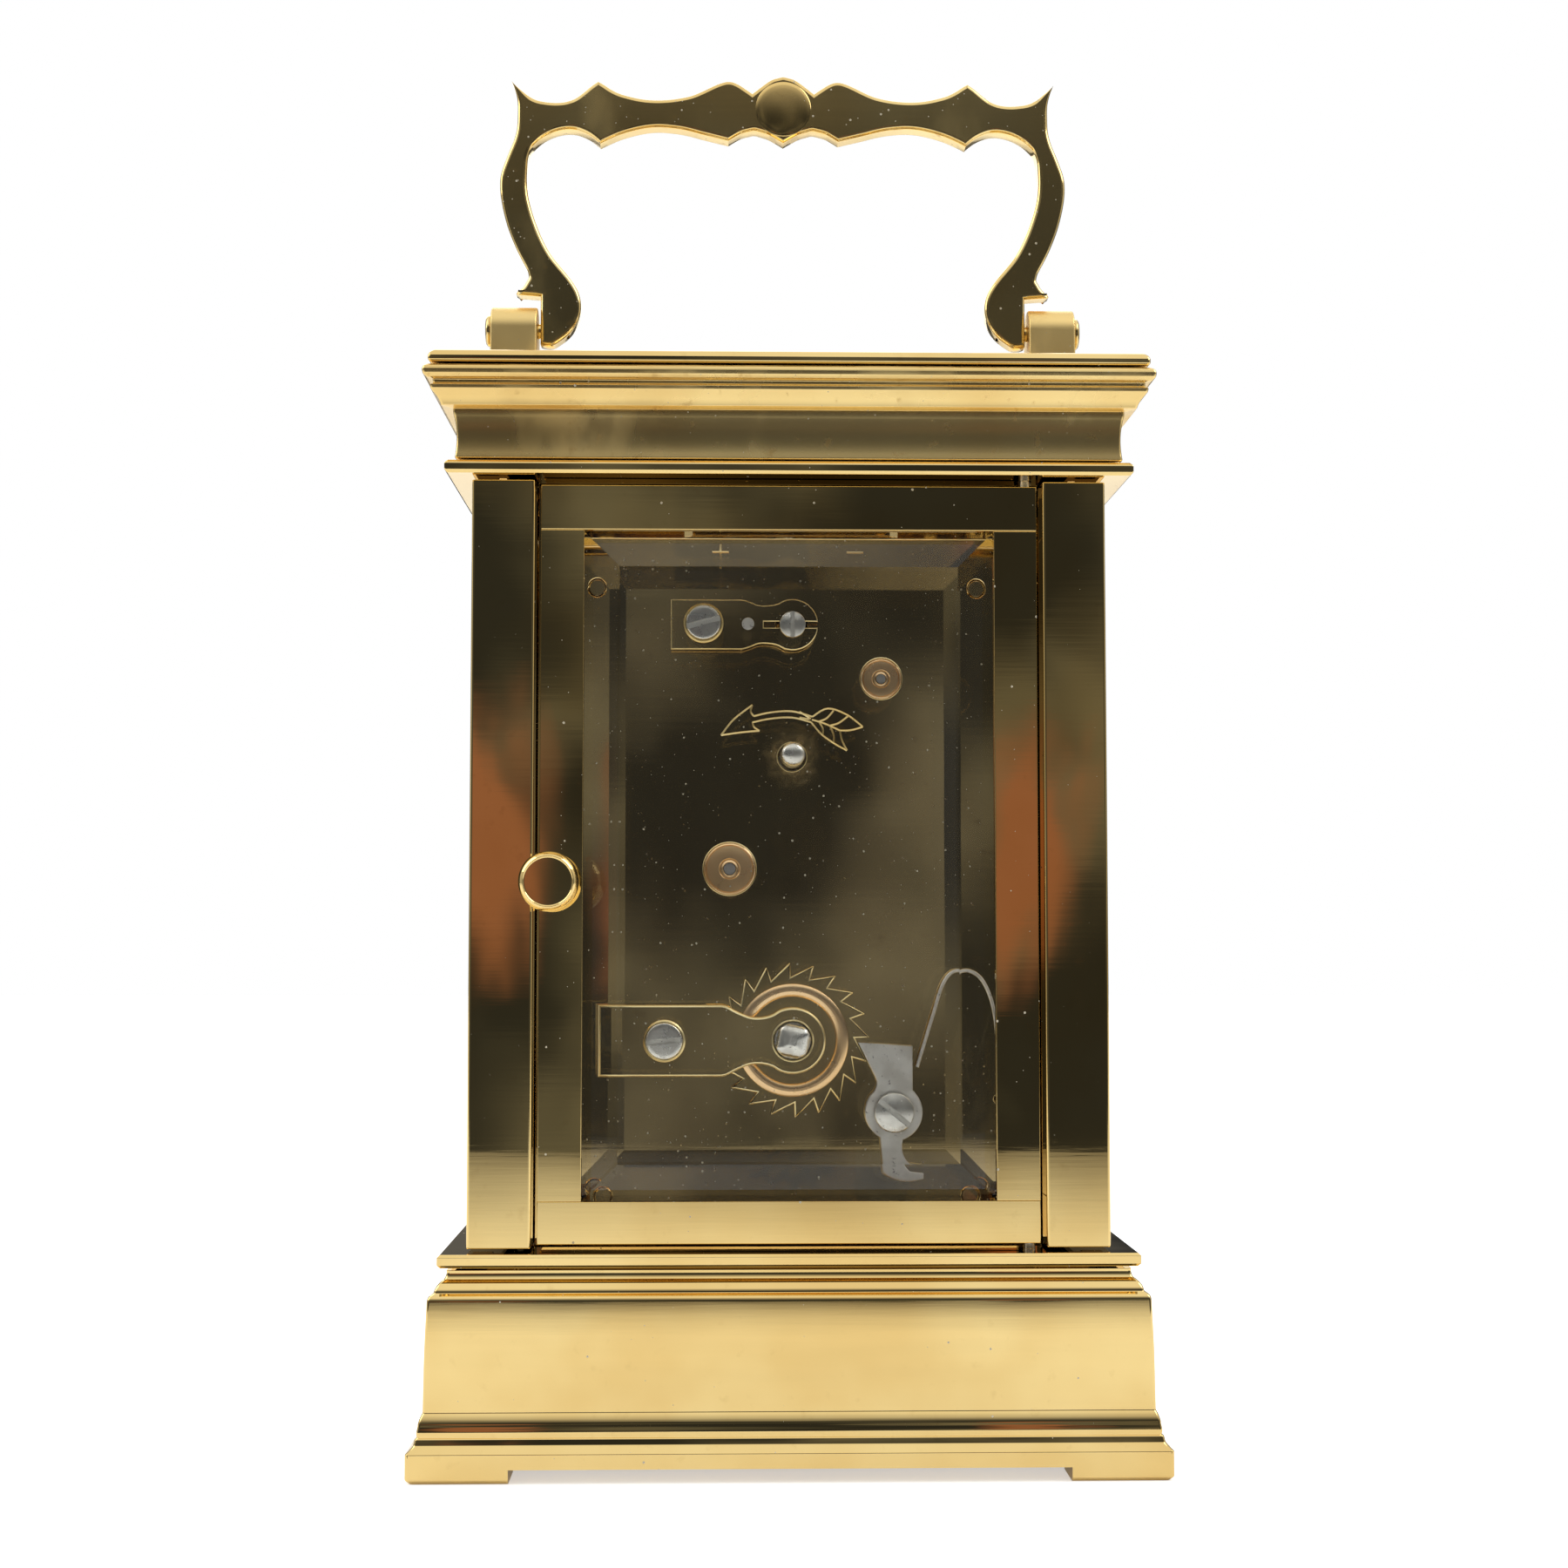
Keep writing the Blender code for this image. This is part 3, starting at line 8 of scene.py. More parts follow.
import bmesh
import bpy
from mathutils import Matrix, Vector

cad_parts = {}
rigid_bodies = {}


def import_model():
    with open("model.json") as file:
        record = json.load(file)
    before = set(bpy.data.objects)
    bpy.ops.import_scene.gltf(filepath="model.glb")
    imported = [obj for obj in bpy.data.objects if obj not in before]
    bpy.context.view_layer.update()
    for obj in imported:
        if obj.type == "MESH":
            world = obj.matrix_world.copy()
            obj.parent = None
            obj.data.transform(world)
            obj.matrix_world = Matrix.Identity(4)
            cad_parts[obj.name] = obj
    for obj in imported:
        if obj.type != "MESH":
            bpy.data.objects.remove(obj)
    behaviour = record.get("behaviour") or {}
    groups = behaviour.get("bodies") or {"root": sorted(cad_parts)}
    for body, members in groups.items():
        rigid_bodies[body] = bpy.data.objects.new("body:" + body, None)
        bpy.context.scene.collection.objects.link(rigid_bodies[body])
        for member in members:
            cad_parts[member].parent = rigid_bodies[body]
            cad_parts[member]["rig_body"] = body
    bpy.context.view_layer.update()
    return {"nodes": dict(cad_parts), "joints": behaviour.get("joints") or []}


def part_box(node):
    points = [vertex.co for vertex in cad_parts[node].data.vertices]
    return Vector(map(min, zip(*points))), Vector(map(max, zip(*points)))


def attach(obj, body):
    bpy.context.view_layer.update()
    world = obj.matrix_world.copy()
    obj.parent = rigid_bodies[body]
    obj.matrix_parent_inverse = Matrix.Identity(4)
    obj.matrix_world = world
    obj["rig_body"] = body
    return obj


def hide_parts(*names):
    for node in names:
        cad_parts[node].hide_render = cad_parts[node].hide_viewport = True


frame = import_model()

MM = 0.001
NODES = frame["nodes"]
PIVOT = {joint["child"]: Vector(joint["pos_m"]) / MM for joint in frame["joints"]}
PLANE = {"X": (1, 2), "Y": (0, 2), "Z": (0, 1)}


def put(name, data):
    """A new object in the scene."""
    obj = bpy.data.objects.new(name, data)
    bpy.context.scene.collection.objects.link(obj)
    return obj


def meshed(bm, name="blank"):
    """A mesh made from a bmesh, which is freed."""
    mesh = bpy.data.meshes.new(name)
    bm.to_mesh(mesh)
    bm.free()
    return mesh


def aim(obj, forward):
    """Points a camera or a lamp along a direction."""
    obj.rotation_mode = "QUATERNION"
    obj.rotation_quaternion = forward.to_track_quat("-Z", "Y")


# ---------------------------------------------------------------- camera and places
CAMERA_AT = (7.4, 306.0, 60.85)
CAMERA_TURN = 1.41             # degrees towards -X
CAMERA_LIFT = 3.54             # degrees above level
LENS = 55.0
FLOOR_HALF = 1500.0
FLOOR_Y = (-2000.0, 420.0)
FLOOR_SHADE_FROM = 210.0             # where the painted shade on the floor starts, darker towards its near edge
CARD_Y = 640.0
CARDS = (("card_left", 92, 98, 26, 62, 10),          # x, z, half width and height, lean
         ("card_right", -106, 88, 24, 58, -7))
LAMPS = (("key", (-420, 160, 520), 0.34, 1.1),       # place, size in metres, watts
         ("fill", (460, 60, 430), 0.40, 0.9),
         ("back", (60, -520, 420), 0.50, 1.2))
LAMP_AIM = (0, 0, 70)
WHITE = (1, 1, 1, 1)
BLACK = (0, 0, 0, 1)


def camera():
    turn, lift = radians(CAMERA_TURN), radians(CAMERA_LIFT)
    data = bpy.data.cameras.new("camera")
    data.lens = LENS
    data.clip_start = 0.005
    obj = put("camera", data)
    obj.location = Vector(CAMERA_AT) * MM
    aim(obj, Vector((-sin(turn) * cos(lift), -cos(turn) * cos(lift),
                     sin(lift))))
    bpy.context.scene.camera = obj


# ---------------------------------------------------------------- materials
class Nodes:
    """A node tree, with short calls that add nodes to it and return their outputs."""

    def __init__(self, tree):
        self.tree = tree

    def feed(self, socket, value):
        if isinstance(value, bpy.types.NodeSocket):
            self.tree.links.new(value, socket)
        else:
            socket.default_value = value

    def add(self, kind, fed=(), **settings):
        """Adds a node. fed holds what its inputs take, in order or by name or number."""
        node = self.tree.nodes.new("ShaderNode" + kind)
        for name, value in settings.items():
            setattr(node, name, value)
        for key, value in fed.items() if isinstance(fed, dict) else enumerate(fed):
            self.feed(node.inputs[key], value)
        return node

    def maths(self, operation, *values):
        return self.add("Math", values, operation=operation).outputs[0]

    def ranged(self, value, low, high, to_low=0.0, to_high=1.0, kind="SMOOTHSTEP"):
        return self.add("MapRange", (value, low, high, to_low, to_high),
                        interpolation_type=kind).outputs[0]

    def mixed(self, share, first, second):
        return self.add("Mix", {0: share, 6: first, 7: second}, data_type="RGBA").outputs[2]

    def split(self, vector):
        return self.add("SeparateXYZ", (vector,)).outputs

    def blend(self, share, first, second):
        """Ends a material in a mix of two shaders."""
        mix = self.add("MixShader", (share, first.outputs[0], second.outputs[0]))
        self.feed(self.tree.nodes["Material Output"].inputs["Surface"], mix.outputs[0])


class Look(Nodes):
    """A material whose patterns are laid out in millimetres on the piece itself."""

    def __init__(self, name, metallic):
        self.material = bpy.data.materials.new(name)
        self.material.use_nodes = True
        super().__init__(self.material.node_tree)
        self.shader = self.tree.nodes["Principled BSDF"]
        self.give("Metallic", metallic)
        place = self.add("TexCoord").outputs["Object"]
        scale = self.add("VectorMath", {0: place, "Scale": 1 / MM}, operation="SCALE")
        self.place = scale.outputs[0]

    def give(self, socket, value):
        self.feed(self.shader.inputs[socket], value)

    def noise(self, per_mm, detail, stretch=(1, 1, 1)):
        place = self.add("VectorMath", (self.place, stretch), operation="MULTIPLY")
        return self.add("TexNoise", {"Vector": place.outputs[0], "Scale": per_mm,
                                     "Detail": detail}).outputs[0]

    def clouds(self, per_mm, detail, low, high, to_low=0.0, to_high=1.0):
        """Noise, with its middle stretch from low to high spread over a range of values."""
        return self.ranged(self.noise(per_mm, detail), low, high, to_low, to_high)

    def specks(self, per_mm, size, share):
        """Small dots of dust, of uneven size. share is how many of the cells hold one."""
        cell = self.add("TexVoronoi", {"Vector": self.place, "Scale": per_mm}).outputs
        chance = self.add("SeparateColor", (cell["Color"],)).outputs
        held = self.maths("LESS_THAN", chance[0], share)
        reach = self.maths("MULTIPLY", chance[1], size)
        return self.maths("MULTIPLY", held, self.maths("LESS_THAN", cell["Distance"], reach))

    def relief(self, height, depth_mm, under=None):
        fed = {"Distance": depth_mm * MM, "Height": height}
        if under:
            fed["Normal"] = under
        return self.add("Bump", fed).outputs[0]


def brass(name, tone, deep, polish, dust, waver, marks, oiled=()):
    """Polished, lacquered brass: clouded tone, wiped smears, fine lines and dust. Round
    each oiled point, given with a radius, it is stained."""
    look = Look(name, 1.0)
    colour = look.mixed(look.clouds(0.05, 3.0, 0.35, 0.68), tone, deep)
    smear = look.ranged(look.noise(0.09, 4.0, (1, 1, 0.45)), 0.46, 0.72)
    stain = look.clouds(0.6, 5.0, 0.6, 0.8, 0.0, marks)
    haze = look.maths("MULTIPLY", stain, 0.12)
    for point, radius in oiled:
        away = look.add("VectorMath", (look.place, point), operation="DISTANCE")
        ragged = look.maths("ADD", away.outputs["Value"],
                            look.clouds(0.7, 3.0, 0.3, 0.7, -0.5, 0.5))
        ring = look.maths("MULTIPLY", look.ranged(ragged, radius * 0.35, radius, 1.0, 0.0),
                          look.clouds(1.4, 4.0, 0.35, 0.7, 0.35, 1.0))
        stain = look.maths("MAXIMUM", stain, look.maths("MULTIPLY", ring, 0.5))
        haze = look.maths("MAXIMUM", haze, look.maths("MULTIPLY", ring, 0.26))
    colour = look.mixed(stain, colour, (deep[0] * 0.72, deep[1] * 0.66, deep[2] * 0.6, 1))
    grit = look.maths("MAXIMUM", look.specks(0.62, 0.1, dust), look.specks(1.3, 0.1, dust * 0.7))
    colour = look.mixed(grit, colour, (0.62, 0.56, 0.42, 1))
    look.give("Metallic", look.maths("SUBTRACT", 1.0, grit))
    look.give("Base Color", colour)
    rough = look.maths("ADD", look.ranged(smear, 0.0, 1.0, polish, polish * 1.8), haze)
    look.give("Roughness", look.maths("ADD", rough, look.maths("MULTIPLY", grit, 0.45)))
    sheet = look.relief(look.noise(0.055, 1.0), waver)
    look.give("Normal", look.relief(look.noise(1.6, 3.0, (0.04, 0.04, 1.0)), 0.0012, sheet))
    return look.material


def steel(name, tone, polish):
    """Polished steel with a fine grain, cloudy patches and a few grey marks."""
    look = Look(name, 1.0)
    cloud = look.clouds(0.4, 4.0, 0.4, 0.7)
    colour = look.mixed(cloud, tone, (tone[0] * 0.82, tone[1] * 0.81, tone[2] * 0.8, 1))
    spot = look.clouds(2.2, 3.0, 0.64, 0.74)
    colour = look.mixed(spot, colour, (0.30, 0.28, 0.26, 1))
    look.give("Base Color", colour)
    rough = look.ranged(cloud, 0.0, 1.0, polish, polish + 0.1)
    look.give("Roughness", look.maths("ADD", rough, look.maths("MULTIPLY", spot, 0.2)))
    look.give("Normal", look.relief(look.noise(9.0, 2.0, (0.08, 0.08, 1.0)), 0.0008))
    return look.material


def blued_steel():
    look = Look("blued_steel", 1.0)
    heat = look.clouds(0.35, 3.0, 0.35, 0.7)
    look.give("Base Color", look.mixed(heat, (0.012, 0.028, 0.13, 1), (0.035, 0.02, 0.10, 1)))
    look.give("Roughness", look.clouds(2.0, 3.0, 0.3, 0.7, 0.1, 0.24))
    look.give("Normal", look.relief(look.noise(8.0, 2.0, (1.0, 1.0, 0.1)), 0.0006))
    return look.material


def glass(name, dust):
    """Clear glass with a little dust and a few wiped smears on it. It lets lamps through."""
    look = Look(name, 0.0)
    grit = look.specks(0.75, 0.075, dust)
    smear = look.ranged(look.noise(0.12, 4.0, (1, 1, 0.5)), 0.55, 0.8, 0.0, 0.004)
    look.give("Base Color", look.mixed(grit, (0.97, 0.985, 0.975, 1), (0.86, 0.84, 0.78, 1)))
    look.give("Roughness", look.maths("ADD", smear, look.maths("MULTIPLY", grit, 0.5)))
    look.give("IOR", 1.5)
    look.give("Transmission Weight", 1.0)
    look.blend(look.add("LightPath").outputs["Is Shadow Ray"], look.shader,
               look.add("BsdfTransparent", ((0.93, 0.95, 0.94, 1),)))
    return look.material


def enamel():
    look = Look("white_enamel", 0.0)
    cloud = look.clouds(0.08, 3.0, 0.35, 0.7)
    colour = look.mixed(cloud, (0.86, 0.85, 0.80, 1), (0.80, 0.78, 0.71, 1))
    grit = look.specks(0.5, 0.05, 0.3)
    look.give("Base Color", look.mixed(grit, colour, (0.35, 0.32, 0.27, 1)))
    look.give("Roughness", look.clouds(0.3, 3.0, 0.3, 0.7, 0.06, 0.16))
    look.give("Coat Weight", 0.6)
    look.give("Normal", look.relief(look.noise(0.12, 1.0), 0.02))
    return look.material


def paint():
    look = Look("dial_paint", 0.0)
    worn = look.clouds(3.0, 4.0, 0.4, 0.75, 0.0, 0.5)
    look.give("Base Color", look.mixed(worn, (*INK, 1), (*(part * 1.8 for part in INK), 1)))
    look.give("Roughness", look.clouds(4.0, 2.0, 0.3, 0.7, 0.3, 0.5))
    return look.material


def jewel():
    look = Look("jewel", 0.0)
    deep = look.clouds(1.5, 2.0, 0.3, 0.7)
    look.give("Base Color", look.mixed(deep, (0.62, 0.02, 0.07, 1), (0.40, 0.01, 0.05, 1)))
    look.give("Roughness", look.clouds(6.0, 2.0, 0.3, 0.7, 0.03, 0.09))
    look.give("IOR", 1.76)
    look.give("Transmission Weight", 0.35)
    return look.material


GOLD = (0.88, 0.67, 0.29, 1)
GOLD_DEEP = (0.80, 0.57, 0.22, 1)
PLATE_GOLD = (0.84, 0.63, 0.30, 1)
PLATE_DEEP = (0.72, 0.52, 0.24, 1)
INK = (0.012, 0.012, 0.014)

PLATE_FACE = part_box("back_plate")[1].y / MM
OILED = [((PIVOT[body].x, PLATE_FACE, PIVOT[body].z), radius)
         for body, radius in (("minute_work", 4.4), ("intermediate", 3.9), ("third", 3.3))]

BRASSES = {                    # tone, deep tone, roughness, dust, waviness, marks
    "case_brass": (GOLD, GOLD_DEEP, 0.025, 0.12, 0.05, 0.2),
    "crown_brass": (GOLD, GOLD_DEEP, 0.24, 0.45, 0.05, 0.7),
    "door_brass": (GOLD, GOLD_DEEP, 0.022, 0.25, 0.06, 0.2),
    "handle_brass": (GOLD, GOLD_DEEP, 0.13, 0.75, 0.05, 0.8),
    "lug_brass": (GOLD, GOLD_DEEP, 0.44, 0.2, 0.04, 0.3),
    "plate_brass": (PLATE_GOLD, PLATE_DEEP, 0.035, 0.7, 0.04, 0.4, OILED),
    "wheel_brass": (PLATE_GOLD, PLATE_DEEP, 0.08, 0.25, 0.01, 0.3),
    # a lighter brass for cut lines and edges: a painted highlight
    "cut_brass": ((1.0, 0.84, 0.48, 1), GOLD, 0.3, 0.1, 0.0, 0.2),
    "bush_brass": ((0.98, 0.69, 0.39, 1), (0.90, 0.60, 0.30, 1), 0.27, 0.1, 0.0, 0.2),
}
STEELS = {                     # tone, roughness
    "steel": ((0.80, 0.78, 0.73, 1), 0.27),
    "grey_steel": ((0.76, 0.73, 0.68, 1), 0.44),
    "slot_steel": ((0.85, 0.83, 0.78, 1), 0.5),
}
LOOKS = {name: brass(name, *settings) for name, settings in BRASSES.items()}
LOOKS.update({name: steel(name, *settings) for name, settings in STEELS.items()})
LOOKS.update({"blued_steel": blued_steel(), "door_glass": glass("door_glass", 0.55),
              "side_glass": glass("side_glass", 0.3), "white_enamel": enamel(),
              "dial_paint": paint(), "jewel": jewel()})
SLOTS = {name: slot for slot, names in (
    ("polished_brass", "case_brass crown_brass door_brass handle_brass lug_brass"),
    ("movement_brass", "plate_brass wheel_brass cut_brass bush_brass"),
    ("steel", "steel grey_steel slot_steel"), ("blued_steel", "blued_steel"),
    ("clear_glass", "door_glass side_glass"), ("white_enamel", "white_enamel"),
) for name in names.split()}


# ---------------------------------------------------------------- studio
def studio():
    """A white floor that glows, painted light, and fades darker, painted shade, and ends a little
    way behind the viewer, a bright ceiling and sides, and a dark room before and behind, which
    the polished faces show."""
    world = bpy.data.worlds.new("studio")
    world.use_nodes = True
    bpy.context.scene.world = world
    nodes = Nodes(world.node_tree)
    place = nodes.add("TexCoord").outputs["Generated"]
    toward, height = nodes.split(place)[1:]
    sky = nodes.ranged(height, -0.05, 0.75, 0.45, 0.98)
    side = nodes.mixed(sky, BLACK, (1.0, 0.99, 0.975, 1))
    dark = nodes.maths("MULTIPLY", nodes.ranged(nodes.maths("ABSOLUTE", toward), 0.2, 0.55),
                       nodes.ranged(height, 0.26, 0.72, 1.0, 0.0))
    cloud = nodes.add("TexNoise", {"Vector": place, "Scale": 7.0, "Detail": 3.0}).outputs[0]
    room = nodes.mixed(nodes.ranged(cloud, 0.44, 0.7),
                       (0.028, 0.030, 0.034, 1), (0.17, 0.17, 0.165, 1))
    shown = nodes.mixed(nodes.add("LightPath").outputs["Is Camera Ray"],
                        nodes.mixed(dark, side, room), WHITE)
    nodes.feed(world.node_tree.nodes["Background"].inputs["Color"], shown)

    # Painted light and shade on the floor: it glows as well as being lit, and darkens towards its
    # near edge.
    floor = Look("floor", 0.0)
    near = floor.ranged(floor.split(floor.place)[1], FLOOR_SHADE_FROM, FLOOR_Y[1], 1.0, 0.16, "LINEAR")
    tone = floor.maths("MULTIPLY", near, floor.clouds(0.02, 4.0, 0.3, 0.7, 0.86, 0.9))
    floor.give("Base Color", floor.mixed(tone, BLACK, WHITE))
    floor.give("Roughness", 0.6)
    # Painted glow: the camera sees it at half strength where the floor is not faded, rising to
    # nearly full at its near edge. Reflections see a faint glow that fades with the colour.
    floor.give("Emission Color", WHITE)
    lit = floor.add("LightPath").outputs["Is Camera Ray"]
    unseen = floor.maths("MULTIPLY", near, 0.12)
    seen = floor.maths("SUBTRACT", 1.0, floor.maths("MULTIPLY", near, 0.5))
    share = floor.maths("MULTIPLY", lit, floor.maths("SUBTRACT", seen, unseen))
    floor.give("Emission Strength", floor.maths("ADD", unseen, share))
    flat_face("floor", [(x, y, 0) for x, y in rectangle(-FLOOR_HALF, FLOOR_Y[0], FLOOR_HALF,
                                                         FLOOR_Y[1])], floor.material)
    for settings in CARDS:
        card(*settings)
    for name, at, size, watts in LAMPS:
        data = bpy.data.lights.new(name, "AREA")
        data.size = size
        data.energy = watts
        lamp = put(name, data)
        lamp.location = Vector(at) * MM
        aim(lamp, Vector(LAMP_AIM) * MM - lamp.location)
    bpy.context.scene.view_settings.view_transform = "Standard"


def flat_face(name, corners, material):
    """One flat face that belongs to the studio."""
    bm = bmesh.new()
    bm.faces.new([bm.verts.new(Vector(corner) * MM) for corner in corners])
    mesh = meshed(bm, name)
    mesh.materials.append(material)
    obj = put(name, mesh)
    return obj


def card(name, x, z, half_x, half_z, lean):
    """A soft-edged warm card, which the polished case reflects."""
    material = bpy.data.materials.new(name)
    material.use_nodes = True
    look = Nodes(material.node_tree)
    look.tree.nodes.remove(look.tree.nodes["Principled BSDF"])
    place = look.add("TexCoord").outputs["Generated"]
    across, _, up = look.split(place)
    cloud = look.add("TexNoise", {"Vector": place, "Scale": 2.2}).outputs[0]
    warp = look.maths("MULTIPLY", look.maths("SUBTRACT", cloud, 0.5), 0.7)
    shares = []
    for part in (across, up):
        away = look.maths("ABSOLUTE", look.maths("SUBTRACT", part, 0.5))
        shares.append(look.ranged(look.maths("ADD", away, warp), 0.16, 0.5, 1.0, 0.0))
    look.blend(look.maths("MULTIPLY", *shares), look.add("BsdfTransparent"),
               look.add("Emission", ((0.30, 0.14, 0.10, 1),)))
    obj = flat_face(name, [(a, 0, b) for a, b in rectangle(-half_x, -half_z, half_x, half_z)],
                    material)
    obj.location = Vector((x, CARD_Y, z)) * MM
    obj.rotation_euler = (0, radians(lean), 0)
    obj.visible_camera = False
    obj.visible_shadow = False


# ---------------------------------------------------------------- shapes
SHARP_FROM = 32.0              # degrees: edges that bend more are shaded sharp
MITRE_R = 0.35                 # rounding of the case's mitred corners


def span(node):
    """The lowest and highest corner of a CAD node, in millimetres."""
    low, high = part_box(node)
    return low / MM, high / MM


def centre_of(node, axis="Y"):
    low, high = span(node)
    middle = (low + high) / 2
    a, b = PLANE[axis]
    return middle[a], middle[b]


def in_plane(point, axis):
    a, b = PLANE[axis]
    return point[a], point[b]


def along(axis, a, b, h):
    if axis == "X":
        return Vector((h, a, b)) * MM
    if axis == "Y":
        return Vector((a, h, b)) * MM
    return Vector((a, b, h)) * MM


def circle(centre, radius, steps=48):
    turn = 2 * pi / steps
    return [(centre[0] + radius * cos(turn * i), centre[1] + radius * sin(turn * i))
            for i in range(steps)]


def arc(a, b, reach_a, reach_b, angles):
    """Points round (a, b), at angles in degrees."""
    return [(a + reach_a * cos(radians(angle)), b + reach_b * sin(radians(angle)))
            for angle in angles]


def spun(centre, a, b, turn):
    """The point (a, b) turned about the origin, then moved to the centre."""
    return (centre[0] + a * cos(turn) - b * sin(turn),
            centre[1] + a * sin(turn) + b * cos(turn))


def rectangle(low_a, low_b, high_a, high_b):
    return [(low_a, low_b), (high_a, low_b), (high_a, high_b), (low_a, high_b)]


def area(loop):
    return sum(a[0] * b[1] - b[0] * a[1] for a, b in zip(loop, loop[1:] + loop[:1])) / 2


def copied(node):
    """A copy of a CAD node's mesh."""
    bm = bmesh.new()
    bm.from_mesh(NODES[node].data)
    bmesh.ops.remove_doubles(bm, verts=bm.verts[:], dist=2e-6)
    return bm


def welded(node):
    """A copy of a CAD node's mesh, with its flat faces whole again."""
    bm = copied(node)
    bmesh.ops.dissolve_limit(bm, angle_limit=radians(0.5), verts=bm.verts[:],
                             edges=bm.edges[:])
    bmesh.ops.recalc_face_normals(bm, faces=bm.faces[:])
    return bm


def skin(bm, rows, ring=False):
    """Joins each row of vertices to the next, and in a ring the last to the first. A row of
    one vertex closes to a point."""
    for lower, upper in zip(rows, rows[1:] + rows[:1] if ring else rows[1:]):
        steps = max(len(lower), len(upper))
        for i in range(steps):
            k = (i + 1) % steps
            if len(lower) == 1:
                bm.faces.new((lower[0], upper[k], upper[i]))
            elif len(upper) == 1:
                bm.faces.new((lower[i], lower[k], upper[0]))
            else:
                bm.faces.new((lower[i], lower[k], upper[k], upper[i]))


def end_loops(node, axis, level=None):
    """The closed edges of a CAD node's flat face at a height along the axis, its highest
    if no level is given: the outer edge first, then the holes."""
    bm = welded(node)
    index = "XYZ".index(axis)
    heights = [vert.co[index] for vert in bm.verts]
    level = max(heights) if level is None else level * MM
    flat = {face for face in bm.faces
            if all(abs(vert.co[index] - level) < 2e-5 for vert in face.verts)}
    beside = {}
    for edge in bm.edges:
        if sum(face in flat for face in edge.link_faces) == 1:
            first, second = edge.verts
            beside.setdefault(first, []).append(second)
            beside.setdefault(second, []).append(first)
    loops = []
    while beside:
        start = next(iter(beside))
        loop, here, last = [], start, None
        while here in beside:
            ahead = [vert for vert in beside.pop(here) if vert is not last]
            loop.append(in_plane(here.co / MM, axis))
            last, here = here, ahead[0]
        loops.append(loop)
    bm.free()
    return sorted(loops, key=lambda loop: -abs(area(loop)))


def rounded(loop, corner=40.0, steps=4, straight=1.7):
    """The same closed outline with its curved stretches made smooth. A turn sharper than
    corner, in degrees, stays sharp. A side that is longer than straight and much longer
    than the next one stays straight."""
    points = [Vector(p) for p in loop]
    count = len(points)
    sides = [points[(i + 1) % count] - points[i] for i in range(count)]
    sharp, lead = [], []
    for i in range(count):
        before, after = sides[i - 1], sides[i]
        sharp.append(degrees(before.angle(after, 0.0)) > corner)
        if before.length > max(2.4 * after.length, straight):
            lead.append(before.normalized())
        elif after.length > max(2.4 * before.length, straight):
            lead.append(after.normalized())
        else:
            lead.append((before.normalized() * after.length
                         + after.normalized() * before.length).normalized())
    line = []
    for i in range(count):
        k = (i + 1) % count
        side, chord = sides[i], sides[i].length
        line.append(points[i])
        near = max(sides[i - 1].length, sides[k].length)
        if (sharp[i] and sharp[k]) or chord > max(2.4 * near, straight):
            continue
        start, end = lead[i], lead[k]
        way = side.normalized()
        if sharp[i]:
            start = (2 * way - end).normalized()
        if sharp[k]:
            end = (2 * way - start).normalized()
        for n in range(1, steps):
            t = n / steps
            line.append(points[i] * (2 * t ** 3 - 3 * t ** 2 + 1)
                        + start * chord * (t ** 3 - 2 * t ** 2 + t)
                        + points[k] * (3 * t ** 2 - 2 * t ** 3)
                        + end * chord * (t ** 3 - t ** 2))
    return [tuple(p) for p in line]


def inset(loop, amount, most):
    """The outline moved by amount, of most at the end, into the material on its left. It
    moves less towards a sharp tip, where its two sides would cross."""
    points = [Vector(p) for p in loop]
    sides = [points[(i + 1) % len(points)] - point for i, point in enumerate(points)]
    tips = []
    for before, after, point in zip(sides[-1:] + sides, sides, points):
        turn = before.angle(after, 0.0)
        if before.cross(after) > 0 and turn > radians(115):
            tips.append((point, tan((pi - turn) / 2)))
    moved = []
    for before, after, point in zip(sides[-1:] + sides, sides, points):
        first = Vector((-before.y, before.x)).normalized()
        second = Vector((-after.y, after.x)).normalized()
        room = min((0.8 * slope * (point - tip).length for tip, slope in tips), default=most)
        reach = amount * min(1.0, room / most) / max(1 + first.dot(second), 0.35)
        moved.append(tuple(point + (first + second) * reach))
    return moved


def make(name, bm, look, body, stands_for=()):
    """Turns the mesh into a finished piece that rides on a body."""
    bmesh.ops.recalc_face_normals(bm, faces=bm.faces[:])
    mesh = meshed(bm, name)
    mesh.materials.append(LOOKS[look])
    mesh.shade_smooth()
    mesh.set_sharp_from_angle(angle=radians(SHARP_FROM))
    for face in mesh.polygons:
        if max(abs(part) for part in face.normal) > 0.999999:
            face.use_smooth = False
    obj = put(name, mesh)
    obj.modifiers.new("weigh", "WEIGHTED_NORMAL").keep_sharp = True
    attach(obj, body)
    if stands_for:
        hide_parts(*stands_for)
    return obj


def remade(node, bm, look):
    """A finished piece that stands for a CAD node and rides on its body."""
    return make(f"{node}_finished", bm, look, NODES[node]["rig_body"], [node])


def repainted(obj, look, test):
    """Gives a second look to the faces that pass the test."""
    obj.data.materials.append(LOOKS[look])
    for face in obj.data.polygons:
        if test(face):
            face.material_index = 1


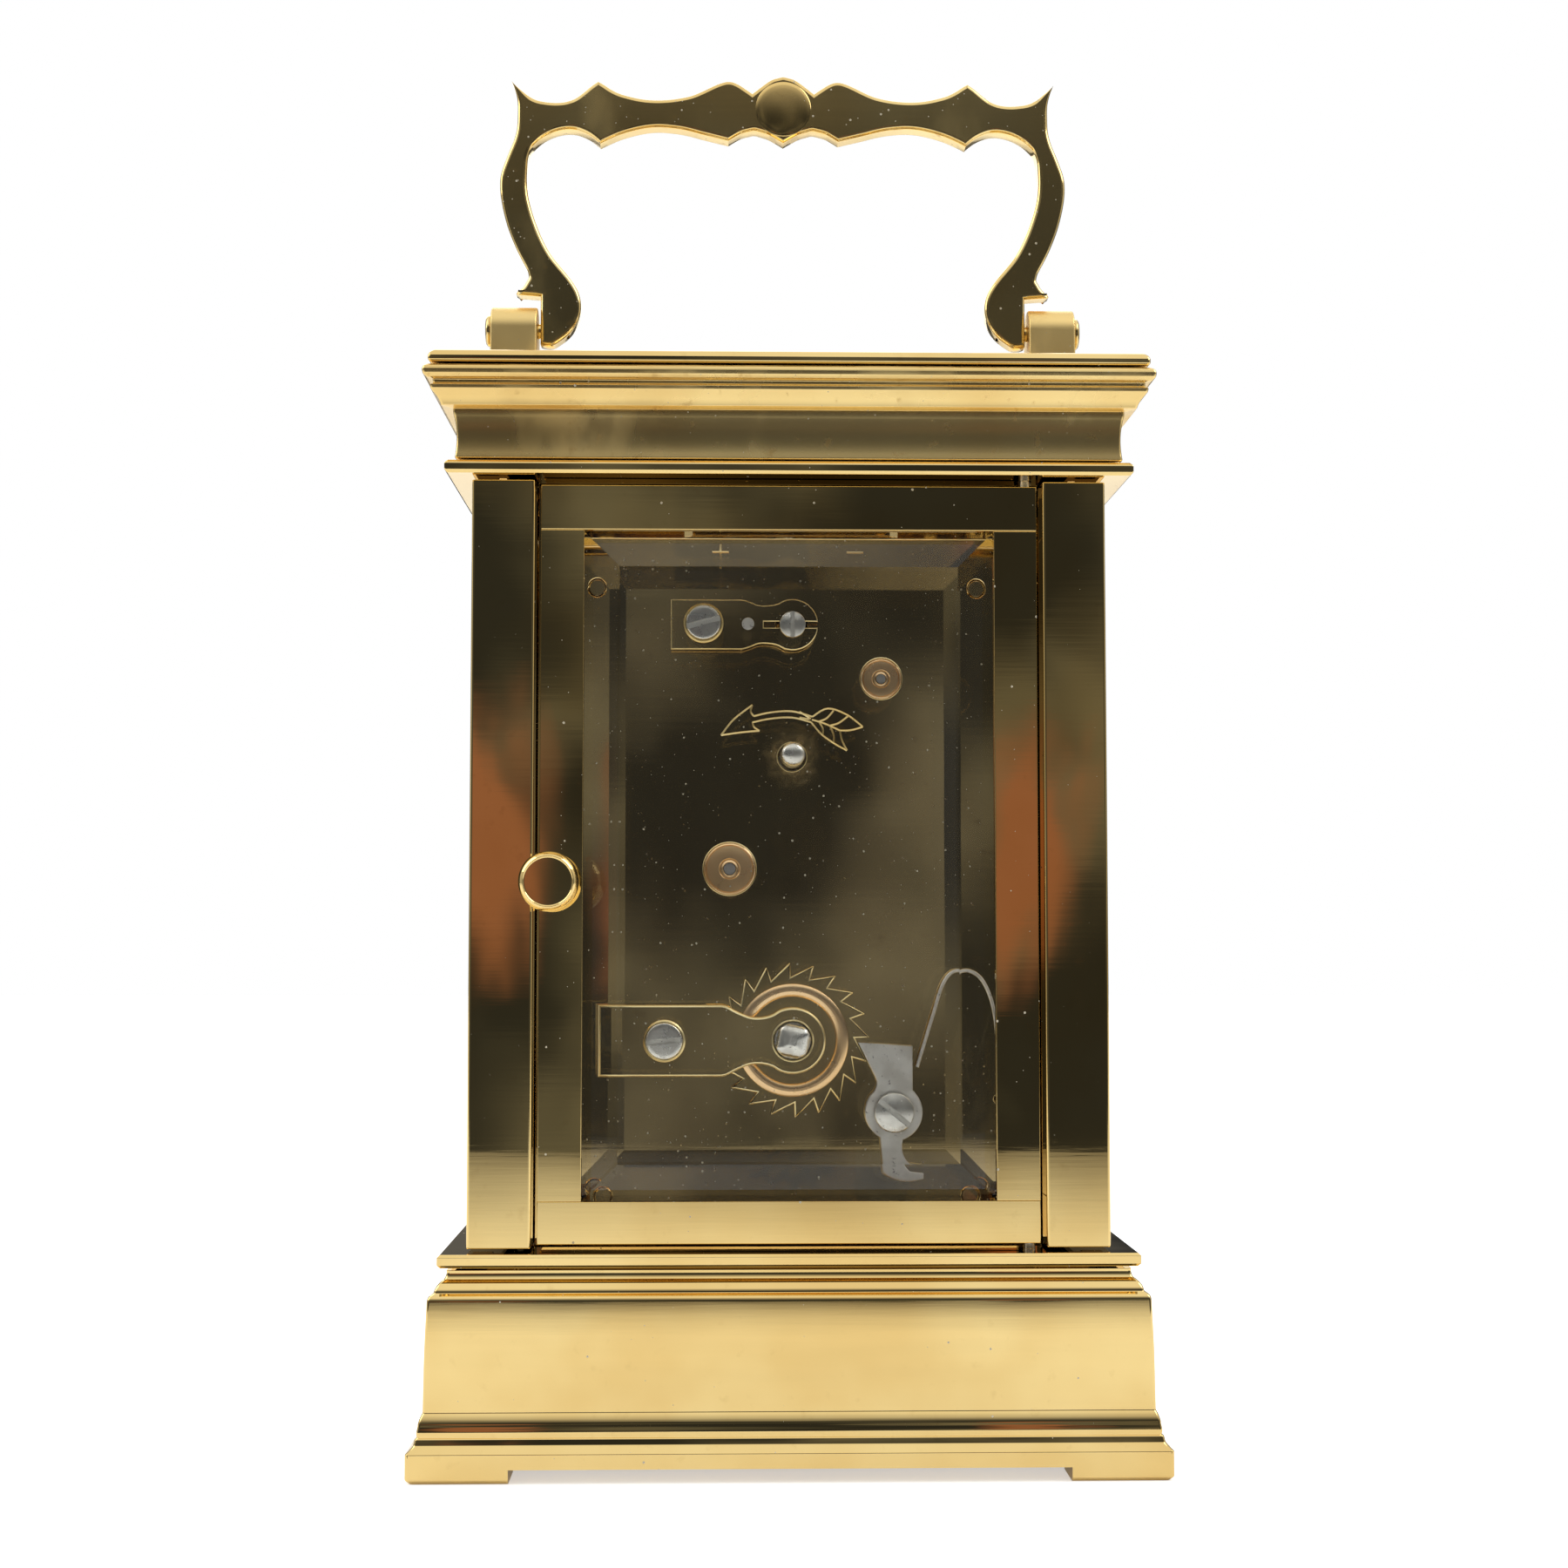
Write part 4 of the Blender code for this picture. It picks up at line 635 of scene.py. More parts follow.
def slab(loops, low, high, axis, edge, rounds=3):
    """A flat piece with rounded edges: its outer outline, then its holes."""
    stations = [(0, low), (0, high)]
    if edge > 0:
        bends = [(edge * (1 - sin(angle)), edge * (1 - cos(angle)))
                 for angle in (pi / 2 * k / rounds for k in range(rounds + 1))]
        stations = [(amount, low + rise) for amount, rise in bends]
        stations += [(amount, high - rise) for amount, rise in reversed(bends)]
    bm = bmesh.new()
    ends = ([], [])
    for i, loop in enumerate(loops):
        if (area(loop) > 0) != (i == 0):
            loop = loop[::-1]
        rows = []
        for amount, height in stations:
            moved = inset(loop, amount, edge) if amount > 0 else loop
            rows.append([bm.verts.new(along(axis, a, b, height)) for a, b in moved])
        skin(bm, rows)
        ends[0].append(rows[0])
        ends[1].append(rows[-1])
    for rims in ends:
        edges = []
        for rim in rims:
            for i, vert in enumerate(rim):
                edges.append(bm.edges.get((vert, rim[(i + 1) % len(rim)])))
        bmesh.ops.triangle_fill(bm, use_beauty=True, use_dissolve=False, edges=edges,
                                normal=along(axis, 0, 0, 1).normalized())
    return bm


def turned(profile, centre, axis="Y", steps=64, ring=False):
    """A turned piece from (radius, height) points, or round a closed section."""
    bm = bmesh.new()
    rows = []
    for radius, height in profile:
        if radius <= 0:
            rows.append([bm.verts.new(along(axis, *centre, height))])
        else:
            rows.append([bm.verts.new(along(axis, a, b, height))
                         for a, b in circle(centre, radius, steps)])
    skin(bm, rows, ring)
    return bm


def dome(radius, face, rise):
    """A profile's rounded end, from its rim to the axis."""
    return arc(0, face, radius, rise, range(15, 90, 15)) + [(0, face + rise)]


def softened(profile, radius, steps=3, closed=False):
    """A profile with a small round at each sharp corner."""
    points = [Vector(p) for p in profile]
    count = len(points)
    line = []
    for i, point in enumerate(points):
        if not closed and i in (0, count - 1):
            line.append(tuple(point))
            continue
        before = points[i - 1] - point
        after = points[(i + 1) % count] - point
        bend = pi - before.angle(after, pi)
        reach = min(radius, before.length * 0.45, after.length * 0.45)
        if bend < radians(24) or reach < 0.01:
            line.append(tuple(point))
            continue
        first = point + before.normalized() * reach
        last = point + after.normalized() * reach
        for k in range(steps + 1):
            t = k / steps
            line.append(tuple(first * (1 - t) ** 2 + point * 2 * t * (1 - t) + last * t * t))
    return line


def moulding(node):
    """A CAD moulding's section, read along its mitre, carried round the case again with
    smooth coves, softened edges and slightly rounded mitres."""
    bm = welded(node)
    less = max(vert.co.x for vert in bm.verts) - max(vert.co.y for vert in bm.verts)
    mitre = {vert for vert in bm.verts
             if vert.co.x > 0 and vert.co.y > 0 and abs(vert.co.x - vert.co.y - less) < 3e-5}
    here = min(mitre, key=lambda vert: (round(vert.co.z, 5), -vert.co.x))
    section = []
    while here:
        section.append((here.co.x / MM, here.co.z / MM))
        mitre.remove(here)
        ahead = [edge.other_vert(here) for edge in here.link_edges
                 if edge.other_vert(here) in mitre]
        level = [vert for vert in mitre if abs(vert.co.z - here.co.z) < 2e-5]
        ahead = ahead or sorted(level, key=lambda vert: abs(vert.co.x - here.co.x))
        here = ahead[0] if ahead else None
    bm.free()
    section = softened(rounded(section, 24.0, 3, 0.0), 0.12, 3, True)
    less /= MM
    bm = bmesh.new()
    rows = []
    for a, z in section:
        row = []
        for sx, sy in ((1, 1), (-1, 1), (-1, -1), (1, -1)):
            for k in range(4):
                angle = pi / 2 * k / 3
                if sx * sy < 0:
                    angle = pi / 2 - angle
                row.append(bm.verts.new(Vector((
                    sx * (a - MITRE_R * (1 - cos(angle))),
                    sy * (a - less - MITRE_R * (1 - sin(angle))), z)) * MM))
        rows.append(row)
    skin(bm, rows, True)
    return bm


def carved(bm, tools, operation="DIFFERENCE"):
    """The mesh with other meshes cut from it, or joined to it."""
    shelf = []
    for piece in (bm, *tools):
        bmesh.ops.recalc_face_normals(piece, faces=piece.faces[:])
        shelf.append(put("blank", meshed(piece)))
    whole = shelf[0]
    for tool in shelf[1:]:
        step = whole.modifiers.new("cut", "BOOLEAN")
        step.solver = "MANIFOLD"
        step.operation = operation
        step.object = tool
    graph = bpy.context.evaluated_depsgraph_get()
    result = bpy.data.meshes.new_from_object(whole.evaluated_get(graph))
    bm = bmesh.new()
    bm.from_mesh(result)
    for obj in shelf:
        bpy.data.objects.remove(obj, do_unlink=True)
    return bm


def block(low, high):
    return slab([rectangle(low[0], low[1], high[0], high[1])], low[2], high[2], "Z", 0)


def joined(*meshes):
    """Separate closed meshes as one."""
    whole = bmesh.new()
    for bm in meshes:
        bmesh.ops.recalc_face_normals(bm, faces=bm.faces[:])
        mesh = meshed(bm)
        whole.from_mesh(mesh)
        bpy.data.meshes.remove(mesh)
    return whole


def wire(path, radius, sides):
    """A round wire along a path of (x, y, z) points, with closed ends."""
    bm = bmesh.new()
    points = [Vector(p) * MM for p in path]
    rows = []
    side = None
    for i, point in enumerate(points):
        ahead = points[min(i + 1, len(points) - 1)] - points[max(i - 1, 0)]
        ahead.normalize()
        if side is None:
            side = ahead.orthogonal().normalized()
        side = (side - ahead * side.dot(ahead)).normalized()
        up = ahead.cross(side)
        rows.append([bm.verts.new(point + (side * cos(2 * pi * k / sides)
                                           + up * sin(2 * pi * k / sides))
                                  * radius * MM) for k in range(sides)])
    skin(bm, rows)
    bm.faces.new(rows[0])
    bm.faces.new(rows[-1])
    return bm


def flowing(points, steps):
    """A smooth line through the points, its ends included."""
    ends = [points[0]] + list(points) + [points[-1]]
    line = []
    for i in range(1, len(ends) - 2):
        p0, p1, p2, p3 = ends[i - 1:i + 3]
        for k in range(steps):
            t = k / steps
            line.append(tuple(0.5 * (2 * b + (c - a) * t + (2 * a - 5 * b + 4 * c - d) * t * t
                                     + (3 * b - a - 3 * c + d) * t ** 3)
                              for a, b, c, d in zip(p0, p1, p2, p3)))
    line.append(tuple(points[-1]))
    return line


def outlines(node, axis="Y", level=None):
    """The smoothed outer outline of a CAD node's flat face, then its holes."""
    return [rounded(loop) for loop in end_loops(node, axis, level)]


def fine(node, look, axis="Y", *, edge):
    """A CAD node that is one flat piece, made again with smooth outlines and soft edges."""
    low, high = (corner["XYZ".index(axis)] for corner in span(node))
    return remade(node, slab(outlines(node, axis), low, high, axis, edge), look)


def smoothed(node, look, bevel=0.0, steel_r=0.0, axis="Y"):
    """A CAD node's own shape with smooth shading and, where set, soft edges. Within steel_r
    of its joint's axis it is steel."""
    obj = remade(node, welded(node), look)
    if steel_r:
        a, b = in_plane(PIVOT[NODES[node]["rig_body"]], axis)

        def inner(face):
            c, d = in_plane(face.center / MM, axis)
            return hypot(c - a, d - b) < steel_r

        repainted(obj, "steel", inner)
    if bevel:
        step = obj.modifiers.new("soft", "BEVEL")
        step.width = bevel * MM
        step.segments = 2
        step.limit_method = "ANGLE"
        step.angle_limit = radians(40)
        obj.modifiers.move(1, 0)


def respun(node, look, axis, steps=64, soft=0.1):
    """A turned CAD node, spun again from its own profile with soft corners."""
    bm = copied(node)
    centre = centre_of(node, axis)
    index = "XYZ".index(axis)

    def polar(vert):
        a, b = in_plane(vert.co / MM, axis)
        return hypot(a - centre[0], b - centre[1]), atan2(b - centre[1], a - centre[0])

    outer = max(bm.verts, key=lambda vert: polar(vert)[0])
    way = polar(outer)[1]
    line = {vert for vert in bm.verts
            if polar(vert)[0] < 0.004 or abs(polar(vert)[1] - way) < 0.004}
    beside = {vert: [edge.other_vert(vert) for edge in vert.link_edges
                     if edge.other_vert(vert) in line] for vert in line}
    ends = [vert for vert in line if len(beside[vert]) == 1]
    here = min(ends, key=lambda vert: vert.co[index]) if ends else outer
    profile, last = [], None
    while True:
        radius = polar(here)[0]
        profile.append((radius if radius > 0.004 else 0.0, here.co[index] / MM))
        ahead = [vert for vert in beside[here] if vert is not last]
        if not ahead:
            break
        last, here = here, ahead[0]
        if here is outer and not ends:
            break
    bm.free()
    ring = not ends
    if not ring:
        profile = [(0, profile[0][1]), *profile, (0, profile[-1][1])]
        profile = [point for i, point in enumerate(profile) if i == 0 or point != profile[i - 1]]
    remade(node, turned(softened(profile, soft, 3, ring), centre, axis, steps, ring), look)


# ---------------------------------------------------------------- case
FOOT_HEIGHT = 1.6
FOOT_LENGTH = 11.4
GAP_REACH = 9.0                # how far the gaps between the feet go in from each side
SEAM = 0.03                    # between the rails and stiles of the door
GLASS_LAP = 0.95               # how far the door glass reaches behind its frame
GLASS_SEAT = 1.2
STOP_WIDTH = 1.5
STOP_GAP = 0.05
STOP_BEHIND = (1.6, 0.35)      # its two faces, behind the inner face of the door


def case():
    high = span("base_moulding")[1]
    gap_x, gap_y = high.x - FOOT_LENGTH, high.y - FOOT_LENGTH
    gaps = []
    for side in (1, -1):
        near, far = sorted((side * (high.x - GAP_REACH), side * (high.x + 1)))
        gaps.append(block((near, -gap_y, -1), (far, gap_y, FOOT_HEIGHT)))
        near, far = sorted((side * (high.y - GAP_REACH), side * (high.y + 1)))
        gaps.append(block((-gap_x, near, -1), (gap_x, far, FOOT_HEIGHT)))
    remade("base_moulding", carved(moulding("base_moulding"), gaps), "case_brass")
    remade("crown_moulding", moulding("crown_moulding"), "crown_brass")
    remade("top_plate", moulding("top_plate"), "case_brass")
    for node in ("cornice_plate", "base_top_plate"):
        smoothed(node, "case_brass", bevel=0.12)
    for end in ("front", "rear"):
        for side in ("left", "right"):
            node = f"case_pillar_{end}_{side}"
            lower, upper = span(node)
            outline = softened(end_loops(node, "Z")[0], 0.3, 4, True)
            remade(node, slab([outline], lower.z, upper.z, "Z", 0.12), "door_brass")
    for node in ("front_glass", "side_glass_left", "side_glass_right", "top_glass"):
        smoothed(node, "side_glass", bevel=0.05)
    for side in ("left", "right"):
        lug = f"handle_lug_{side}"
        lower, upper = span(lug)
        loops = [softened(loop, 0.25, 3, True) for loop in outlines(lug, "X")]
        remade(lug, slab(loops, lower.x, upper.x, "X", 0.22), "lug_brass")
        respun(f"handle_pin_{side}", "case_brass", "X")


def opening(gap):
    """The half width, bottom and top of the opening between the pillars, less a gap."""
    return (span("case_pillar_rear_left")[0].x - gap, span("base_top_plate")[1].z + gap,
            span("cornice_plate")[0].z - gap)


def door_stop():
    """A thin brass lining that closes the gap all round the shut door."""
    door_y = span("rear_door_frame")[0].y
    x, floor, ceiling = opening(STOP_GAP)
    loops = [rectangle(-x, floor, x, ceiling),
             rectangle(STOP_WIDTH - x, floor + STOP_WIDTH, x - STOP_WIDTH, ceiling - STOP_WIDTH)]
    bm = slab(loops, door_y - STOP_BEHIND[0], door_y - STOP_BEHIND[1], "Y", 0.1)
    make("door_stop", bm, "door_brass", "case")


def door():
    low, high = span("rear_door_frame")
    pane_low, pane_high = span("rear_door_glass")
    window_x = pane_high.x - GLASS_LAP
    bottom, top = pane_low.z + GLASS_LAP, pane_high.z - GLASS_LAP
    seat = ((-window_x - GLASS_SEAT, low.y - 1, bottom - GLASS_SEAT),
            (window_x + GLASS_SEAT, high.y - GLASS_SEAT, top + GLASS_SEAT))
    bars = [rectangle(low.x, low.z, high.x, bottom - SEAM / 2),
            rectangle(low.x, top + SEAM / 2, high.x, high.z),
            rectangle(low.x, bottom + SEAM / 2, -window_x, top - SEAM / 2),
            rectangle(window_x, bottom + SEAM / 2, high.x, top - SEAM / 2)]
    made = []
    for bar in bars:
        outline = softened(bar, 0.07, 3, True)
        made.append(carved(slab([outline], low.y, high.y, "Y", 0.09), [block(*seat)]))
    remade("rear_door_frame", joined(*made), "door_brass")
    smoothed("rear_door_glass", "door_glass", bevel=0.04)
    respun("door_knob", "case_brass", "Y", 96, 0.16)
    for end in ("bottom", "top"):
        respun(f"door_pin_{end}", "steel", "Z", 40)


HANDLE_EDGE = 0.52             # rounding of its edges
BOSS_R = 3.6
BOSS_DROP = 4.4                # its centre below the top of the handle
BOSS_RISE = 0.25
DRILL_R = 1.0                  # of the holes for the pins


def handle():
    low, high = span("handle")
    outline = rounded(end_loops("handle", "Y")[0], 38.0, 5)
    bm = slab([outline], low.y, high.y, "Y", HANDLE_EDGE, 5)
    drills = []
    for side in ("left", "right"):
        pin_low, pin_high = span(f"handle_pin_{side}")
        lug_low, lug_high = span(f"handle_lug_{side}")
        ends = ((pin_low.x - 0.3, lug_low.x + 1) if pin_low.x > 0
                else (lug_high.x - 1, pin_high.x + 0.3))
        drills.append(turned([(0, ends[0]), (DRILL_R, ends[0]), (DRILL_R, ends[1]), (0, ends[1])],
                             centre_of(f"handle_pin_{side}", "X"), "X", 32))
    remade("handle", carved(bm, drills), "handle_brass")
    for name, face, out in (("rear", high.y, 1), ("front", low.y, -1)):
        profile = [(0, face - 0.2 * out), (BOSS_R, face - 0.2 * out), (BOSS_R, face),
                   *dome(BOSS_R, face, BOSS_RISE * out)]
        boss = turned(profile, (0.0, high.z - BOSS_DROP), "Y", 56)
        make(f"handle_boss_{name}", boss, "handle_brass", "handle")


# ---------------------------------------------------------------- back of the movement
BUSHES = {"intermediate": (3.1, 0.78), "third": (2.45, 0.62)}   # outer radius, hole radius
CONTRATE_HOLE = 1.9            # under the round end of the contrate cock
GROOVE = 0.12                  # radius of an engraved line


def at(body):
    return PIVOT[body].x, PIVOT[body].z


def arrow(face):
    """An engraved arrow over the setting arbor, drawn in outline."""
    x, z = at("minute_work")
    shapes = [
        [(8.5, 2.6), (7.0, 4.5), (4.75, 6.25)],
        [(4.75, 6.25), (4.95, 5.5), (4.6, 4.9)],
        [(8.5, 2.6), (6.1, 2.95), (3.9, 3.15)],
        [(3.9, 3.15), (4.55, 3.6), (4.75, 4.15)],
        [(4.6, 4.9), (2.6, 5.35), (0.0, 5.5), (-2.45, 4.85)],
        [(4.75, 4.15), (2.6, 4.6), (0.0, 4.75), (-2.3, 4.2)],
        [(-2.45, 4.85), (-4.3, 5.85), (-6.6, 5.1), (-8.5, 3.65)],
        [(-8.5, 3.65), (-7.1, 3.25), (-5.75, 3.2)],
        [(-5.75, 3.2), (-6.0, 2.0), (-6.6, 0.8)],
        [(-6.6, 0.8), (-5.3, 1.5), (-3.6, 2.7), (-2.3, 4.2)],
        [(-2.4, 4.5), (-4.0, 4.0), (-5.75, 3.2)],
        [(-3.3, 4.3), (-4.2, 4.7), (-5.0, 5.6)],
        [(-4.6, 3.8), (-5.6, 4.1), (-6.7, 4.9)],
        [(-3.3, 4.15), (-3.7, 3.4), (-3.7, 2.75)],
        [(-4.6, 3.65), (-5.0, 2.6), (-5.0, 1.75)],
        [(-0.9, 5.45), (-2.2, 4.6), (-0.9, 4.75)],
    ]
    lines = []
    for shape in shapes:
        path = [(x + a, face, z + b) for a, b in shape]
        lines.append(wire(flowing(path, 5), GROOVE, 8))
    return lines


def marks(face, top):
    """The plus and minus of the regulator, cut near the top of the plate."""
    x = at("balance")[0]
    bars = [((7.6, -1.7), (9.6, -1.7)), ((8.6, -0.7), (8.6, -2.7)), ((-8.6, -1.7), (-6.6, -1.7))]
    return [wire([(x + a, face, top + b), (x + c, face, top + d)], 0.14, 8)
            for (a, b), (c, d) in bars]


def bright_cuts(obj, face, reach=100.0):
    """Paints a highlight, a lighter brass, on the lines and edges cut round a piece's rear face,
    as far out as reach.
    """
    def cut(part):
        centre = part.center / MM
        return (centre.y > face - 0.3 and 0.05 < abs(part.normal.y) < 0.97
                and abs(centre.x) < reach)

    repainted(obj, "cut_brass", cut)


def back_plate():
    low, high = span("back_plate")
    loops = []
    for loop in end_loops("back_plate", "Y"):
        middle = sum((Vector(p) for p in loop), Vector((0, 0))) / len(loop)
        for body, (radius, _) in BUSHES.items():
            if (middle - Vector(at(body))).length < 0.5:
                loop = circle(at(body), radius, 64)
        if (middle - Vector(at("contrate"))).length < 0.5:
            loop = circle(at("contrate"), CONTRATE_HOLE, 40)
        loops.append(rounded(loop))
    bm = slab(loops, low.y, high.y, "Y", 0.14)
    cuts = arrow(high.y) + marks(high.y, high.z)
    bright_cuts(remade("back_plate", carved(bm, cuts), "plate_brass"), high.y, 20.0)
    face = high.y
    for body, (radius, hole) in BUSHES.items():
        profile = [(hole, low.y), (hole, face - 0.42), (hole + 0.08, face - 0.36),
                   (hole + 0.3, face - 0.34), (hole + 0.42, face - 0.16),
                   (hole + 0.5, face - 0.1)]
        for k in range(1, 6):
            t = k / 5
            profile.append((hole + 0.5 + (radius - 0.85 - hole) * t,
                            face - 0.1 + 0.08 * t ** 2))
        profile += [(radius - 0.3, face - 0.09), (radius - 0.24, face + 0.02),
                    (radius - 0.12, face + 0.05), (radius - 0.02, face - 0.02),
                    (radius - 0.02, low.y)]
        make(f"bush_{body}", turned(profile, at(body), "Y", 72, True), "bush_brass", "case")


BIG_SLOT, SMALL_SLOT = 0.33, 0.26      # half widths of the slots
SMALL_SCREW_R = 1.8            # a head under this radius has the small slot


def slotted(node, head, slot_degrees, rise, shank=0.9, soft=0.2):
    """A screw with a slotted head that rises to its middle. A flat one has a turned ring."""
    low, high = span(node)
    centre = centre_of(node)
    radius = (high.x - low.x) / 2
    face = high.y
    rim = face - rise
    profile = [(0, low.y), (shank, low.y), (shank, face - head), (radius - 0.1, face - head),
               (radius, face - head + 0.1), (radius, rim - soft)]
    profile += arc(radius - soft, rim - soft, soft, soft, (20, 40, 60, 80))
    for k in range(1, 6):
        t = k / 6
        reach = (radius - soft) * (1 - t)
        profile.append((reach, face - rise * (reach / (radius - soft)) ** 2))
    profile.append((0, face))
    reach = radius + 0.5
    half = SMALL_SLOT if radius < SMALL_SCREW_R else BIG_SLOT
    outline = [spun(centre, a, b, radians(slot_degrees))
               for a, b in rectangle(-reach, -half, reach, half)]
    depth = min(0.5, head * 0.6)
    bm = carved(turned(profile, centre), [slab([outline], face - depth, face + 1, "Y", 0)])
    repainted(remade(node, bm, "steel"), "slot_steel",
              lambda part: abs(part.center.y - (face - depth) * MM) < 1e-6)
    if rise < 0.1:
        seat = face - head
        ring = [(radius + 0.04, seat - 0.12), (radius + 0.34, seat - 0.12),
                (radius + 0.3, seat + 0.02), (radius + 0.18, seat + 0.1),
                (radius + 0.06, seat + 0.04)]
        # the ring takes the lighter brass of the painted edge highlights
        make(f"{node}_ring", turned(ring, centre, "Y", 72, True), "cut_brass", "case")


ARM_THICK = 1.35               # of the winding cock
FOOT_DROP = 1.0                # from its face to the top of its foot
STEADY = (5.3, 0.1)            # its pin's place, from the contrate arbor
STEADY_R = 0.74


def cocks():
    low, face = (corner.y for corner in span("winding_cock"))
    arm = slab(outlines("winding_cock"), face - ARM_THICK, face, "Y", 0.26)
    foot = slab(outlines("winding_cock", "Y", low), low, face - FOOT_DROP, "Y", 0.06)
    bright_cuts(remade("winding_cock", carved(arm, [foot], "UNION"), "plate_brass"), face)
    slotted("winding_cock_screw", 0.9, -5, 0.04)
    slotted("click_screw", 1.0, 40, 0.42)
    slotted("contrate_cock_screw", 0.85, -15, 0.06)
    slotted("contrate_end_screw", 0.6, 90, 0.24, 0.44, 0.14)
    x, z = at("contrate")
    face = span("contrate_cock")[1].y
    bright_cuts(fine("contrate_cock", "plate_brass", edge=0.14), face)
    pin = turned([(0, face - 0.4), (STEADY_R, face - 0.4), (STEADY_R, face + 0.02),
                  (STEADY_R - 0.08, face + 0.08), (0, face + 0.11)],
                 (x + STEADY[0], z + STEADY[1]), "Y", 40)
    make("contrate_cock_steady_pin", pin, "slot_steel", "case")
    fine("click", "grey_steel", edge=0.13)
    spring()


SPRING_R = 0.36                # of the spring's CAD solid
WIRE_R = 0.22
SPRING_FOOT_Z = 41.0


def spring():
    """The wire that presses the click into the ratchet."""
    low, high = span("click_spring")
    x, y, z = low.x + SPRING_R + 0.1, high.y - SPRING_R, SPRING_FOOT_Z
    shape = [(x, low.y, z), (x, y - 0.9, z), (x, y - 0.25, z + 0.35), (x - 0.1, y, z + 4.0),
             (x + 0.45, y, z + 10.5), (x + 1.9, y, z + 14.2), (x + 4.0, y, z + 15.3),
             (x + 5.6, y, z + 13.9), (x + 6.9, y, z + 10.0), (x + 8.0, y, z + 6.5),
             (x + 8.8, y, z + 3.9)]
    remade("click_spring", wire(flowing(shape, 8), WIRE_R, 16), "grey_steel")


RING = (5.9, 0.75, 0.26)       # radius, half width and height of the ratchet's ring
CORE_R = 4.0                   # of the barrel arbor inside the spring
CORE_Y = (-4.05, 9.75)
TIP_R = 1.42


def winding():
    face = span("ratchet_wheel")[1].y
    bright_cuts(fine("ratchet_wheel", "wheel_brass", edge=0.18), face)
    radius, half, rise = RING
    profile = [(radius - half, face - 0.1), (radius + half, face - 0.1),
               *arc(radius, face, half, rise, range(0, 181, 20))]
    ring = turned(profile, at("winding_arbor"), "Y", 96, True)
    make("ratchet_ring", ring, "bush_brass", "winding_arbor")

    low, high = span("barrel_arbor")
    body = turned(softened([(0, low.y), (1.6, low.y), (1.6, low.y + 5.0), (2.6, low.y + 5.0),
                            (2.6, CORE_Y[1]), (2.6, 16.0), (2.5, 16.0), (2.5, high.y - 5.6),
                            (2.2, high.y - 5.6), (2.2, high.y - 3.1), (0, high.y - 3.1)], 0.1),
                  at("winding_arbor"), "Y", 64)
    core = turned(softened([(0, CORE_Y[0]), (CORE_R, CORE_Y[0]), (CORE_R, CORE_Y[1]),
                            (0, CORE_Y[1])], 0.1), at("winding_arbor"), "Y", 64)
    arbor = carved(body, [core], "UNION")
    remade("barrel_arbor", joined(arbor, square(high.y)), "steel")
    smoothed("set_arbor", "steel", bevel=0.08)
    tip = span("set_arbor")[1].y
    profile = [(0, tip - 0.7), (TIP_R, tip - 0.7), (TIP_R, tip - 0.35),
               *dome(TIP_R, tip - 0.35, 0.75)]
    make("set_arbor_tip", turned(profile, at("minute_work"), "Y", 48), "steel", "minute_work")


SQUARE = 1.88                  # half the side of the winding square
SQUARE_TURN = 12.0             # degrees
SQUARE_CORNER = 2.08           # the farthest that its corners reach


def square(top):
    """The winding square: rounded corners and a pillowed end."""
    stations = [(SQUARE, top - 3.2), (SQUARE, top - 0.95), (SQUARE * 0.985, top - 0.75),
                (SQUARE * 0.93, top - 0.52), (SQUARE * 0.8, top - 0.3),
                (SQUARE * 0.55, top - 0.12), (SQUARE * 0.25, top - 0.02)]
    steps = 72
    x, z = at("winding_arbor")
    bm = bmesh.new()
    rows = []
    for half, height in stations:
        row = []
        for i in range(steps):
            angle = 2 * pi * i / steps
            bulk = abs(cos(angle)) ** 6 + abs(sin(angle)) ** 6
            radius = min(half / bulk ** (1 / 6), SQUARE_CORNER)
            way = angle + radians(SQUARE_TURN)
            row.append(bm.verts.new(along("Y", x + radius * cos(way),
                                          z + radius * sin(way), height)))
        rows.append(row)
    skin(bm, rows)
    bm.faces.new(rows[0])
    bm.faces.new(rows[-1])
    return bm


# ---------------------------------------------------------------- train and platform
HUBS = {"intermediate": 2.9, "centre": 2.55, "third": 1.7, "contrate": 1.6}   # steel radii


def train():
    smoothed("barrel", "wheel_brass")
    respun("barrel_cap", "wheel_brass", "Y", 96)
    smoothed("mainspring", "blued_steel")
    for body, radius in HUBS.items():
        smoothed(f"{body}_wheel", "wheel_brass", steel_r=radius)
    fine("front_plate", "plate_brass", edge=0.14)
    for height in ("lower", "upper"):
        for side in ("left", "right"):
            respun(f"movement_pillar_{height}_{side}", "wheel_brass", "Y", 56)
    for node in ("minute_wheel", "hour_wheel"):
        smoothed(node, "wheel_brass")


SCREW_Z = 112.95               # height of the balance screws
SCREWS = 12


